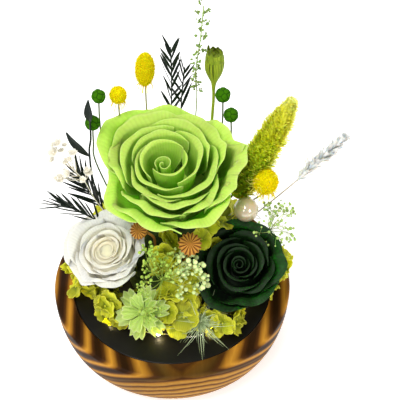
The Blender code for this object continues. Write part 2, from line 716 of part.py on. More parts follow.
def bud_spray(name, inner, onward, reach, count, width, seed, lean, flat=0.8):
    """A cloud of small buds on fine stalks that branch from one stem, kept clear of what stands near."""
    rng = random.Random(seed)
    hub, lean = mm(*onward[-1]), Vector(lean).normalized()
    shapes = [stem(inner, onward, 0.6 * MM)]
    twigs = [hub]
    ends = []
    for _ in range(TRIES * count):
        if len(ends) == count:
            break
        way = Vector([rng.gauss(0, 1) for _ in range(3)]).normalized()
        way = (way * flat + lean * 0.75).normalized()
        end = hub + way * reach * MM * rng.uniform(0.55, 1.0)
        if any((end - other).length < width * 1.9 * MM for other in ends):
            continue
        fork = min(twigs, key=lambda twig: (twig - end).length)
        twig = bud(fork, end, width * MM, 0.3 * MM)
        if is_clear(twig):
            shapes.append(twig)
            ends.append(end)
            if (end - hub).length < 0.8 * reach * MM and len(twigs) < 7:
                twigs.append(end)
    keep(fused(name, shapes, "mist_lime"))


def make_bud_sprays():
    front = [(-6, -17, 48), (-5, -21.5, 60)]
    bud_spray("mist_spray_front", (-4.5, -9, 40), front, 20, 14, 2.6, 11, (0.1, -0.45, 0.9))
    right = [(25, 8, 54), (44, 11, 63), (56, 6, 67)]
    bud_spray("mist_spray_right", (16, 6, 44), right, 14, 8, 2.5, 12, (0.45, -0.1, 0.6))


def make_mist_spike():
    """The tall thin plume of tiny florets behind the rose, at the right of the needle spray."""
    rng = random.Random(21)
    line = [(3, 30, 62), (11, 52, 90), (13, 53, 115), (12.5, 52, 132), (14.8, 52, 152), (16.3, 52, 171)]
    path = smooth_path([mm(*p) for p in line], 5)
    shapes = [stem((2, 20, 46), line)]
    for n in range(11):
        spot = spot_along(path, 0.46 + 0.54 * n / 10)[0]
        angle = n * GOLDEN_TURN
        out = Vector((math.cos(angle), math.sin(angle) * 0.8, 0.6)) * rng.uniform(1.6, 3.4) * MM
        shapes.append(bud(spot, spot + out, 2.1 * MM, 0.22 * MM))
    keep(fused("mist_spike", shapes, "mist_lime"))


def make_white_spray():
    """Bleached small flowers at the left on forked stalks."""
    line = [(-24, 11.5, 55), (-37, 13.5, 78), (-42.5, 13, 95), (-48, 13, 104)]
    shapes = [stem((-14, 7.5, 43), line)]
    spots = (
        (-55.5, 14, 113, 5.0, 1.0), (-53.1, 16, 117.4, 3.8, 0.93), (-46.6, 16, 111.2, 3.8, 0.86),
        (-49.5, 10, 103.4, 4.2, 0.8), (-40.0, 11, 103.4, 4.0, 0.68), (-52.3, 9, 100.9, 4.0, 0.7),
    )
    path = smooth_path([mm(*p) for p in line], 4)
    for x, y, z, width, share in spots:
        end, root = mm(x, y, z), spot_along(path, share)[0]
        way = (end - root).normalized()
        cup = lambda share, angle, w=width: share ** 2 * w * 0.16 * MM
        aim = way + Vector((0, -0.5, 0.4))
        shapes.append(flower_on_stalk(star_rim(width / 2 * MM, 5, 0.55), cup, aim, end, root))
    keep(fused("white_spray", shapes, "bleached"))


def make_plume():
    """The bleached feathery grass that reaches out to the right."""
    line = [(63, 18, 90), (70, 21, 96.5), (78.5, 24.8, 103.3), (86.5, 28.5, 109.8)]
    path = smooth_path([mm(*p) for p in line], 5)
    shapes = [stem((18, 10, 42), [(26, 12, 52), (46, 15, 72)] + line, 0.4 * MM)]
    for n in range(13):
        share = 0.1 + 0.88 * n / 12
        spot, along = spot_along(path, share)
        out = facing(along, turn=n * GOLDEN_TURN).to_3x3() @ Vector((1, 0, 0))
        shapes.append(needle(spot, along + out * 0.38, (9 - 3.5 * share) * MM, 1.4 * MM))
    keep(fused("white_plume", shapes, "bleached"))


def make_star_flower():
    """The pale green flower with pleated, toothed petals at the front."""
    centre, axis = mm(-13.5, -31, 46), Vector((-0.25, -0.62, 0.74))
    teeth = (0.46, 0.90, 0.80, 1.0, 0.80, 0.90)
    rim = [14.6 * MM * q for q in teeth * 6]
    rise = lambda share, angle: (3.2 * share ** 2 + 0.9 * math.cos(18 * angle) * share) * MM
    shapes = [moved(rosette(rim, rise, BLADE), facing(axis, centre))]
    heart = [7.5 * MM * q for q in (0.5, 0.95, 1.0, 0.95) * 4]
    inner = lambda share, angle: (0.6 + 6.5 * share ** 1.5) * MM
    shapes.append(moved(rosette(heart, inner, BLADE), facing(axis, centre, 0.5)))
    shapes.append(stem((-7, -8, 40), [(-11, -18, 44), tuple(centre / MM)], 0.8 * MM))
    keep(fused("star_flower", shapes, "star_mint"))


def make_air_plant():
    """The grey-green tuft of fine curved leaves at the front."""
    rng = random.Random(31)
    centre = mm(15, -35, 43)
    axis = Vector((0.1, -0.7, 0.7)).normalized()
    shapes = [head(centre, axis, 4 * MM, 3.6 * MM, 4, 6)]
    leaves = 19
    for n in range(leaves):
        lift = 1 - 1.15 * (n + 0.5) / leaves
        way = facing(axis).to_3x3() @ on_ball(lift, n * GOLDEN_TURN)
        length = 12 * MM * rng.uniform(0.7, 1.1)
        leaf = needle(centre + way * 1.1 * MM, way - Vector((0, 0, 0.25)), length, MM)
        if is_clear(leaf):
            shapes.append(leaf)
    shapes.append(stem((6, -9, 38), [(9, -19, 41), tuple(centre / MM)], 0.6 * MM))
    keep(fused("air_plant", shapes, "air_plant"))


# Hydrangea

def on_ball(rise, angle):
    """The unit vector at a height and an angle."""
    flat = math.sqrt(1 - rise * rise)
    return Vector((flat * math.cos(angle), flat * math.sin(angle), rise))


def flower_on_stalk(rim, rise, aim, centre, root, stalk=0.4 * MM, turn=0.0):
    """A lobed flower whose underside runs into a three-sided stalk that ends at a root point.

    rim lists a radius and an angle for each point of the outline, and rise(share, angle) is the height."""
    place_in = facing(aim, centre, turn)
    reach = max(radius for radius, _ in rim)
    lift = Vector((0, 0, BLADE / 2))
    edge = [Vector((r * math.cos(a), r * math.sin(a), rise(r / reach, a))) for r, a in rim]
    middle = Vector((0, 0, rise(0, 0)))
    points = [place_in @ (p + lift) for p in [middle] + edge] + [place_in @ (p - lift) for p in edge]
    along = (centre - root).normalized()
    across = place_in.to_3x3() @ Vector((1, 0, 0))
    across = (across - along * across.dot(along)).normalized()
    up = along.cross(across)
    size, neck = len(rim), len(points)
    foot = neck + 3
    for place in (place_in @ (middle - lift), root):
        for n in range(3):
            angle = 2 * math.pi * n / 3
            points.append(place + (across * math.cos(angle) + up * math.sin(angle)) * stalk)
    faces = [(foot, foot + 2, foot + 1)]
    for n in range(size):
        k = (n + 1) % size
        a, b = 1 + size + n, 1 + size + k
        near, after = neck + 3 * n // size, neck + (3 * (n + 1) // size) % 3
        faces += [(0, 1 + n, 1 + k), (1 + k, 1 + n, a), (1 + k, a, b), (b, a, near)]
        if near != after:
            faces.append((b, near, after))
    for n in range(3):
        k = (n + 1) % 3
        faces += [(neck + n, foot + n, foot + k), (neck + n, foot + k, neck + k)]
    return outward(points, faces)


def star_rim(radius, tips, valley):
    """The outline of a star: a tip and a valley in turn."""
    return [(radius * (1.0, valley)[n % 2], math.pi * n / tips) for n in range(2 * tips)]


def floret(centre, aim, root, width, rng):
    """A four-petalled floret on its stalk, the broad petals cupped and a little uneven."""
    sizes = [rng.uniform(0.88, 1.08) for _ in range(4)]
    tilts = [rng.uniform(-0.06, 0.26) for _ in range(4)]
    petal_line = ((0.84, -29), (1.0, 0), (0.84, 29), (0.46, 45))
    rim = []
    for quarter in range(4):
        for share, degrees in petal_line:
            rim.append((width / 2 * share * sizes[quarter], math.radians(degrees + 90 * quarter)))
    rise = lambda share, angle: share ** 1.4 * width * tilts[int(angle / (math.pi / 2) + 0.5) % 4]
    return flower_on_stalk(rim, rise, aim, centre, root, turn=rng.uniform(0, 1.57))


def hydrangea(name, inner, hub, out, reach, count, width, seed):
    """A branch of hydrangea: florets all over the outer half of a ball round the end of one stem.

    A floret that would cross a finished piece is turned and drawn in until it is clear."""
    rng = random.Random(seed)
    centre, out = mm(*hub), Vector(out).normalized()
    turn = facing(out).to_3x3()
    shapes = [stem(inner, [hub], 0.7 * MM), head(centre, out, 3.6 * MM, 3.6 * MM, 3, 5)]
    for n in range(count):
        rise = 1 - 0.95 * (n + 0.5) / count
        for attempt in range(TRIES):
            angle = n * GOLDEN_TURN + rng.uniform(-0.9, 0.9) * (attempt > 0)
            way = turn @ on_ball(rise, angle)
            place = centre + way * reach * MM * (rng.uniform(0.92, 1.12) - 0.012 * attempt)
            aim = way + Vector([rng.gauss(0, 0.16) for _ in range(3)])
            size = width * MM * rng.uniform(0.85, 1.1) * (1 - 0.008 * attempt)
            bloom = floret(place, aim, centre + way * MM, size, rng)
            if is_clear(bloom):
                shapes.append(bloom)
                break
    keep(fused(name, shapes, "hydrangea_lime"))


def make_hydrangeas():
    """Branches all round the foam, and two in the gaps between the roses."""
    branches = (
        ("upper_left", (-4, -4, 44), (-6, -8, 63), (-0.1, -0.45, 1), 9, 4, 14),
        ("upper_front", (4, -7, 44), (9, -18, 56), (0.15, -0.6, 0.7), 8, 4, 14),
        ("upper_right", (10, 2, 46), (17, 2, 66), (0.35, -0.2, 1), 10, 4, 13),
        ("front", (2, -10, 36), (3, -25, 42), (0.05, -0.8, 0.45), 11, 5, 15),
        ("front_left", (-11, -6, 36), (-26, -18, 43), (-0.75, -0.55, 0.15), 10, 5, 14),
        ("front_right", (12, -8, 36), (25, -26, 41), (0.45, -0.85, 0.05), 9, 4, 13),
        ("right", (18, 1, 37), (46, -1, 45), (0.9, -0.35, 0.15), 10, 4, 14),
        ("back_right", (14, 15, 38), (27, 27, 46), (0.65, 0.65, 0.4), 11, 4, 16),
        ("back", (1, 22, 38), (-2, 37, 47), (0, 0.85, 0.5), 11, 4, 16),
        ("back_left", (-14, 15, 38), (-28, 25, 48), (-0.7, 0.6, 0.4), 11, 4, 16),
        ("left", (-17, 3, 37), (-38, -1, 42), (-0.95, 0.05, 0.2), 9, 4, 13),
    )
    for seed, (name, inner, hub, out, reach, count, width) in enumerate(branches):
        hydrangea("hydrangea_" + name, inner, hub, out, reach, count, width, 50 + seed)


def make_foam():
    """The mound of foam with a plain hole for every stem."""
    cutters = []
    for inner, outer, radius in foam_holes:
        way = (outer - inner).normalized()
        cutters.append(skin([inner - way * 0.4 * MM, outer], [2 * radius + GAP] * 2, 3))
    keep(fused("floral_foam", [foam_shape()] + cutters, "foam_green", "DIFFERENCE"))


def main():
    clear_scene()
    root = bpy.data.objects.new(SCENE_ROOT, None)
    bpy.context.scene.collection.objects.link(root)
    make_base()
    make_battery()
    make_lights()
    make_rose("green_rose", GREEN_ROSE, OPEN_LAYERS, "rose_green", 4, 1)
    make_rose("white_rose", WHITE_ROSE, CUPPED_LAYERS, "rose_white", 3, 2)
    make_rose("dark_rose", DARK_ROSE, DARK_LAYERS, "rose_dark", 3, 3)
    make_poppy_heads()
    make_pearl()
    make_foxtail()
    make_yellow_heads()
    make_green_balls()
    make_seed_pod()
    make_long_leaves()
    make_needle_sprays()
    make_mist_spike()
    make_white_spray()
    make_plume()
    make_star_flower()
    make_air_plant()
    make_hydrangeas()
    make_bud_sprays()
    make_foam()


main()
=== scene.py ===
"""Looks of the preserved flower arrangement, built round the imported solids. Metres, +Z up, seen along +Y."""

import math
import random

import bmesh
import bpy
import numpy as np
from mathutils import Matrix, Vector, noise
from mathutils.bvhtree import BVHTree


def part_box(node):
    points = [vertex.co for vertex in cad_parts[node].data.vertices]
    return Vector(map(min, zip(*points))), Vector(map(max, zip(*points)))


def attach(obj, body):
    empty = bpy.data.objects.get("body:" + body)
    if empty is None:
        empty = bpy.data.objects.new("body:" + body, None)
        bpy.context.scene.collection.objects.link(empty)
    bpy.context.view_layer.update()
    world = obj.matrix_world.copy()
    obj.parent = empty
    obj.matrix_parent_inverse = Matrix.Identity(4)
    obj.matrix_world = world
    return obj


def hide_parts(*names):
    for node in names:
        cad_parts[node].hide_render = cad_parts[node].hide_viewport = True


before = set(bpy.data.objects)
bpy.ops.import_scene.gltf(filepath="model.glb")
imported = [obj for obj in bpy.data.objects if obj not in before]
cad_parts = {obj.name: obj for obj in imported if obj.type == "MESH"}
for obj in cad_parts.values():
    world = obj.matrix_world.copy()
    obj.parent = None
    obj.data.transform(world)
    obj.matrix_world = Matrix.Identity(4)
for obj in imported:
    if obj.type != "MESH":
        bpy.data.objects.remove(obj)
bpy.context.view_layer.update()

MM = 0.001
FULL_TURN = 2 * math.pi
GOLDEN_TURN = 2.39996
CLEARANCE = 0.3 * MM

# The noise starts from the clock unless it gets a seed
DENT_SEED = 5
noise.seed_set(DENT_SEED)

# The photograph's camera: 47 degrees down, square frame
CAMERA_PLACE = (14.6, -330, 448.9)
CAMERA_TILT = 43
CAMERA_LENS = 90
CAMERA_SENSOR = 36
WHITE = (1, 1, 1)
WARM_WHITE = (1, 0.99, 0.97)

# The turned base, where the solids' boxes don't give a size
BASE_WAIST = 54 * MM
BASE_FOOT = 46 * MM
FOOT_EDGE, FOOT_LIFT = 4 * MM, 1.8 * MM
WALL_DROP = 27 * MM
RIM_EDGE = 1.2 * MM
SEAT_LIP = 0.6 * MM
RECESS_DEPTH = 16 * MM

# The wood's growth rings lie about an axis under the base. Between the two depths the wall's thin rings
# give way to the top's wide ones.
RING_AXIS = (9 * MM, -27 * MM)
THIN_RING = 4.4 * MM
WIDE_RING = 7.0 * MM
WIDE_RING_START = 54.8 * MM
WALL_DEPTH, TOP_DEPTH = 56.5 * MM, 60.5 * MM

# The lights' wire: angles in degrees round the foam, reaches in mm
WIRE_RING = 38.5
WIRE_START, WIRE_SWEEP, WIRE_STEPS = 112, 318, 90
WIRE_BULGE, BULGE_ANGLE, BULGE_SPREAD = 5, 222, 20
FIRST_BEAD, BEAD_PITCH, BEADS = 145, 38.4, 7

# The blooms: where each stands and faces, where its stem starts, its sizes and its heart's place off the
# middle, in mm. The outline is the rim's reach as a share of the radius, by the angle in degrees round it.
ROLL_START = 0.76
PETAL_THICKNESS = 0.35 * MM
GREEN_ROSE = {
    "foot": (2.5, 18.4, 76.0), "faces": (-0.05, -0.19, 0.98), "stem_in": (1, 14, 46),
    "radius": 34.0, "height": 38, "heart": (-3.4, -1.2), "heart_height": 0.90, "fill": 0.35,
    "roll": (0.7, 5.2), "belly": (0.82, 0.46), "ruffle": 1.5, "point": 1.8,
    "outline": (
        (0, 0.94), (12, 0.98), (18, 1.04), (26, 1.07), (33, 1.14), (42, 0.97), (60, 0.98), (75, 1.06),
        (110, 1.08), (128, 1.06), (142, 1.18), (155, 1.22), (175, 1.17), (192, 1.08), (205, 0.99),
        (216, 1.04), (230, 1.15), (242, 1.08), (256, 1.0), (272, 1.05), (290, 1.09), (303, 1.08),
        (320, 1.02), (345, 1.0),
    ),
}
WHITE_ROSE = {
    "foot": (-27.2, -4.8, 50.4), "faces": (-0.22, -0.27, 0.94), "stem_in": (-11, 0, 42),
    "radius": 19.6, "height": 22, "heart": (0, 0), "heart_height": 0.92, "fill": 0.94,
    "roll": (0.6, 3.6), "belly": (0.86, 0.42), "ruffle": 0.8, "point": 0.9,
    "outline": (
        (0, 0.95), (30, 1.0), (50, 0.94), (80, 1.05), (105, 1.12), (128, 1.22), (145, 1.16), (165, 1.28),
        (182, 1.33), (200, 1.27), (222, 1.17), (240, 1.04), (258, 0.99), (268, 1.06), (285, 0.95),
        (330, 0.98),
    ),
}
DARK_ROSE = {
    "foot": (34.3, -8.0, 46.0), "faces": (0.02, -0.42, 0.91), "stem_in": (13, -1, 40),
    "radius": 20.8, "height": 26, "heart": (-0.8, 0.4), "heart_height": 0.92, "fill": 0.45,
    "roll": (0.5, 3.8), "belly": (0.84, 0.44), "ruffle": 0.8, "point": 1.0,
    "outline": (
        (0, 1.10), (15, 1.03), (30, 1.12), (45, 1.20), (62, 1.13), (90, 1.12), (120, 1.13), (150, 1.06),
        (180, 1.0), (208, 1.14), (228, 1.20), (244, 1.16), (262, 1.0), (300, 1.0), (325, 0.98), (345, 1.06),
    ),
}

# The petals: the angle each faces and half its width in degrees, its rim's reach and height as shares,
# and how far its sides lie out of the ring in mm
OPEN_PETALS = (
    (150, 98, 0.35, 0.98, 1.5), (325, 92, 0.29, 0.965, 1.5), (20, 74, 0.50, 0.98, 2.0),
    (125, 66, 0.50, 0.97, 2.0), (232, 80, 0.48, 0.95, 2.0), (72, 60, 0.66, 0.95, 2.5),
    (160, 62, 0.66, 0.94, 2.0), (250, 52, 0.61, 0.90, 2.0), (335, 66, 0.67, 0.93, 3.0),
    (55, 54, 0.83, 0.90, 2.5), (128, 52, 0.84, 0.90, 2.5), (190, 34, 0.82, 0.87, -2.0),
    (292, 44, 0.74, 0.885, 2.0), (262, 37, 0.84, 0.855, 2.0), (328, 34, 0.83, 0.84, -2.5),
    (98, 60, 0.95, 0.79, 3.0), (165, 47, 1.00, 0.84, -6.0), (224, 36, 0.98, 0.76, 3.0),
    (258, 34, 1.00, 0.79, 3.0), (312, 37, 1.00, 0.77, 3.0), (352, 34, 0.98, 0.79, 2.0),
    (18, 30, 1.00, 0.80, 2.0), (45, 30, 1.00, 0.80, 2.0),
)
CUPPED_PETALS = (
    (110, 100, 0.21, 0.95, 0.6), (290, 100, 0.23, 0.94, 0.6), (60, 72, 0.35, 0.99, 0.8),
    (175, 74, 0.36, 0.98, 0.8), (292, 74, 0.35, 0.96, 0.8), (12, 60, 0.51, 1.00, 1.0),
    (105, 62, 0.49, 1.00, 1.0), (205, 66, 0.52, 0.98, 1.0), (300, 58, 0.51, 0.96, 1.0),
    (60, 56, 0.69, 0.98, 1.2), (150, 60, 0.70, 0.97, 1.2), (236, 56, 0.70, 0.94, 1.2),
    (322, 54, 0.69, 0.93, 1.2), (20, 48, 0.87, 0.92, 1.4), (98, 50, 0.86, 0.94, 1.4),
    (180, 54, 0.90, 0.93, 1.4), (262, 50, 0.87, 0.87, 1.4), (338, 42, 0.86, 0.88, 1.4),
    (52, 46, 1.00, 0.84, 1.6), (130, 48, 1.00, 0.87, 1.6), (192, 50, 1.00, 0.83, 1.6),
    (250, 44, 1.00, 0.78, 1.6), (312, 48, 1.00, 0.79, 1.6),
)
DARK_PETALS = (
    (100, 104, 0.19, 0.95, 0.8), (285, 104, 0.22, 0.93, 0.8), (62, 84, 0.38, 1.00, 1.2),
    (205, 92, 0.40, 0.98, 1.2), (325, 62, 0.38, 0.95, 1.2), (15, 62, 0.56, 0.96, 1.6),
    (125, 66, 0.53, 0.98, 1.6), (235, 80, 0.60, 0.92, 1.8), (318, 60, 0.76, 0.87, 2.0),
    (52, 56, 0.76, 0.93, 2.0), (150, 64, 0.76, 0.90, 2.0), (0, 54, 0.98, 0.82, 2.4),
    (72, 54, 1.00, 0.85, 2.4), (148, 52, 1.00, 0.81, 2.4), (222, 56, 1.00, 0.76, 2.4),
    (288, 52, 0.98, 0.75, 2.4),
)


# Shapes: points, faces, and four paint values for each point

class Shape:
    """Paint holds the place across, the place along, a tone of the piece's own, and nearness to a rim, which
    some pieces use for another mark: seams, rays, or the seed pod's painted shade.
    """

    def __init__(self, points, faces, paint=(0, 0, 0, 0)):
        self.points = np.asarray(points, float).reshape(-1, 3)
        self.faces = [np.asarray(group, int) for group in faces]
        self.paint = np.array(np.broadcast_to(paint, (len(self.points), 4)), float)

    def moved(self, matrix):
        return Shape(self.points @ matrix[:3, :3].T + matrix[:3, 3], self.faces, self.paint)


def joined(shapes):
    starts = np.cumsum([0] + [len(shape.points) for shape in shapes])
    groups = {}
    for shape, start in zip(shapes, starts):
        for group in shape.faces:
            groups.setdefault(group.shape[1], []).append(group + start)
    points = np.concatenate([shape.points for shape in shapes])
    paint = np.concatenate([shape.paint for shape in shapes])
    return Shape(points, [np.concatenate(group) for group in groups.values()], paint)


def mm(*xyz):
    return np.array(xyz, float) * MM


def unit(vectors):
    return vectors / np.maximum(np.linalg.norm(vectors, axis=-1, keepdims=True), 1e-12)


def facing(direction, origin=(0, 0, 0), turn=0.0):
    """The matrix that takes local +Z to a direction and the local origin to a point."""
    aim = Vector(direction).to_track_quat("Z", "Y").to_matrix().to_4x4()
    return np.array(Matrix.Translation(Vector(origin)) @ aim @ Matrix.Rotation(turn, 4, "Z"))


def spun(turn):
    return np.array(Matrix.Rotation(turn, 4, "Z"))


def around(sides):
    """Even angles round a full turn."""
    return np.arange(sides) * FULL_TURN / sides


def spans(across, along, left=-1.0, low=0.0):
    """Places across a grid, in a column that ends at 1, and along it, in a row that ends at 1."""
    return np.linspace(left, 1, across + 1)[:, None], np.linspace(low, 1, along + 1)[None, :]


def gridded(x, y, z):
    return np.stack(np.broadcast_arrays(x, y, z), axis=-1)


def polar_grid(r, angle, z, shift=(0, 0)):
    return gridded(r * np.cos(angle) + shift[0], r * np.sin(angle) + shift[1], z)


def smooth_path(points, steps=4):
    """Points on a smooth curve through the given ones."""
    points = np.asarray(points, float)
    if len(points) == 1:
        return points
    if len(points) == 2:
        return np.linspace(points[0], points[1], steps + 1)
    ends = np.vstack([2 * points[0] - points[1], points, 2 * points[-1] - points[-2]])
    path = []
    for i in range(1, len(ends) - 2):
        p0, p1, p2, p3 = ends[i - 1:i + 3]
        for t in np.arange(steps) / steps:
            bend = 2 * p1 + (p2 - p0) * t + (2 * p0 - 5 * p1 + 4 * p2 - p3) * t ** 2
            path.append((bend + (3 * p1 - p0 - 3 * p2 + p3) * t ** 3) / 2)
    return np.array(path + [points[-1]])


def ring_faces(rings, sides):
    """Faces of rings of points, closed round, with a fan to a pole at each end."""
    index = np.arange(rings * sides).reshape(rings, sides)
    after = np.roll(index, -1, axis=1)
    walls = np.stack([index[:-1], after[:-1], after[1:], index[1:]], axis=-1).reshape(-1, 4)
    pole = np.full(sides, rings * sides)
    start = np.stack([pole, after[0], index[0]], axis=-1)
    end = np.stack([pole + 1, index[-1], after[-1]], axis=-1)
    return [walls, start, end]


def shell(rows, bottom, top):
    """A closed body from rings of points between two poles."""
    rings, sides = rows.shape[:2]
    shape = Shape(np.vstack([rows.reshape(-1, 3), bottom, top]), ring_faces(rings, sides))
    shape.paint[:-2, 1] = np.repeat(np.linspace(0, 1, rings), sides)
    shape.paint[-1, 1] = 1
    return shape


def tube(path, radii, sides, tone=0.0, relief=1.0):
    """A round body along a path, with flat ends. relief is a share of the radius for each ring and side."""
    path = np.asarray(path, float)
    tangents = unit(np.gradient(path, axis=0))
    side = np.cross(tangents[0], (0.31, 0.17, 0.94))
    if np.linalg.norm(side) < 1e-3:
        side = np.cross(tangents[0], (1, 0, 0))
    across = np.empty_like(path)
    for i, tangent in enumerate(tangents):
        side = unit(side - tangent * side.dot(tangent))
        across[i] = side
    up = np.cross(tangents, across)
    angle = around(sides)[:, None]
    ring = np.cos(angle) * across[:, None] + np.sin(angle) * up[:, None]
    reach = np.broadcast_to(radii, len(path))[:, None] * np.ones(sides) * relief
    shape = shell(path[:, None] + ring * reach[..., None], path[0], path[-1])
    shape.paint[:-2, 0] = np.tile(np.arange(sides) / sides, len(path))
    shape.paint[:, 2] = tone
    return shape


def strand(points, radius, sides, steps, tone=0.5):
    """A thin tube on a smooth curve through the points."""
    return tube(smooth_path(points, steps), radius, sides, tone)


def stem(inner, onward, radius=0.5 * MM, sides=8):
    """A stem from a point inside the foam, straight to the first onward point, then on in a smooth curve."""
    path = smooth_path(np.array(onward) * MM, 5)
    return tube(np.vstack([[mm(*inner)], path]), radius, sides, 0.5)


def lathe(profile, sides, centre=(0, 0)):
    """A solid of revolution about a vertical axis from (radius, height) points between two poles."""
    profile = np.asarray(profile, float)
    rows = polar_grid(profile[1:-1, :1], around(sides), profile[1:-1, 1:], centre)
    return shell(rows, (*centre, profile[0, 1]), (*centre, profile[-1, 1]))


def sheet(grid, thickness, tone=0.0, rim=0.05):
    """A thin closed sheet over a grid of points that runs across and along."""
    a, b = grid.shape[:2]
    lift = unit(np.cross(np.gradient(grid, axis=0), np.gradient(grid, axis=1))) * thickness / 2
    index = np.arange(a * b).reshape(a, b)
    top = np.stack([index[:-1, :-1], index[1:, :-1], index[1:, 1:], index[:-1, 1:]], axis=-1).reshape(-1, 4)
    loop = np.concatenate([index[:-1, 0], index[-1, :-1], index[:0:-1, -1], index[0, :0:-1]])
    after = np.roll(loop, -1)
    side = np.stack([after, loop, loop + a * b, after + a * b], axis=-1)
    across, along = spans(a - 1, b - 1, left=0.0)
    edge = np.clip(1 - np.minimum(np.minimum(across, 1 - across) * 2, 1 - along) / rim, 0, 1)
    paint = np.stack(np.broadcast_arrays(across, along, tone, edge), axis=-1).reshape(-1, 4)
    return Shape([grid + lift, grid - lift], [top, top[:, ::-1] + a * b, side], np.vstack([paint, paint]))


def aimed(origins, directions, sizes, turns, helper=None):
    """A 3 by 4 frame for each place: +Z along its direction, scaled and turned about it.

    +X starts out square to the helper vectors."""
    z = unit(np.asarray(directions, float))
    if helper is None:
        helper = np.where(np.abs(z[:, 2:]) < 0.9, (0.0, 0.0, 1.0), (1.0, 0.0, 0.0))
    x = unit(np.cross(helper, z))
    y = np.cross(z, x)
    turns = np.asarray(turns, float)[:, None]
    sizes = np.asarray(sizes, float)
    if sizes.ndim == 1:
        sizes = np.repeat(sizes[:, None], 3, axis=1)
    axes = (x * np.cos(turns) + y * np.sin(turns), y * np.cos(turns) - x * np.sin(turns), z)
    turned = np.stack([axis * sizes[:, n:n + 1] for n, axis in enumerate(axes)], axis=-1)
    return np.concatenate([turned, np.asarray(origins, float)[..., None]], axis=-1)


def scattered(template, frames, tones):
    """One copy of the template in each frame, each with a tone of its own."""
    points = np.einsum("kij,pj->kpi", frames[:, :, :3], template.points) + frames[:, None, :, 3]
    size = len(template.points)
    offsets = (np.arange(len(frames)) * size)[:, None, None]
    faces = [(group[None] + offsets).reshape(-1, group.shape[1]) for group in template.faces]
    paint = np.tile(template.paint, (len(frames), 1))
    paint[:, 2] = np.repeat(tones, size)
    return Shape(points, faces, paint)


def strewn(template, places, ways, sizes, rng):
    """Copies at the places, each turned about its own way by chance."""
    count = len(places)
    return scattered(template, aimed(places, ways, sizes, rng.uniform(0, 6, count)), rng.random(count))


def ball_points(count, lowest=-1.0):
    """Unit vectors spread evenly over a ball, from its top down to a given height."""
    rise = 1 - (1 - lowest) * (np.arange(count) + 0.5) / count
    flat = np.sqrt(1 - rise ** 2)
    turn = np.arange(count) * GOLDEN_TURN
    return np.stack([flat * np.cos(turn), flat * np.sin(turn), rise], axis=-1)


def placed(data, place):
    """A new object in the scene for the data."""
    made = bpy.data.objects.new(data.name, data)
    made.location = place
    bpy.context.scene.collection.objects.link(made)
    return made


def piece(name, shapes, finish, slot, *nodes, sharp=40):
    """One shown object from shapes, riding on the body, in place of one solid or more."""
    shape = joined(shapes)
    corners = np.concatenate([group.ravel() for group in shape.faces])
    sizes = np.concatenate([np.full(len(group), group.shape[1]) for group in shape.faces])
    mesh = bpy.data.meshes.new(name)
    mesh.vertices.add(len(shape.points))
    mesh.vertices.foreach_set("co", shape.points.ravel())
    mesh.loops.add(len(corners))
    mesh.loops.foreach_set("vertex_index", corners)
    mesh.polygons.add(len(sizes))
    mesh.polygons.foreach_set("loop_start", np.concatenate([[0], np.cumsum(sizes)[:-1]]))
    mesh.update(calc_edges=True)
    mesh.attributes.new("paint", "FLOAT_COLOR", "POINT").data.foreach_set("color", shape.paint.ravel())
    mesh.shade_smooth()
    mesh.set_sharp_from_angle(angle=math.radians(sharp))
    mesh.materials.append(finish)
    obj = placed(mesh, (0, 0, 0))
    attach(obj, "root")
    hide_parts(*nodes)


# Materials

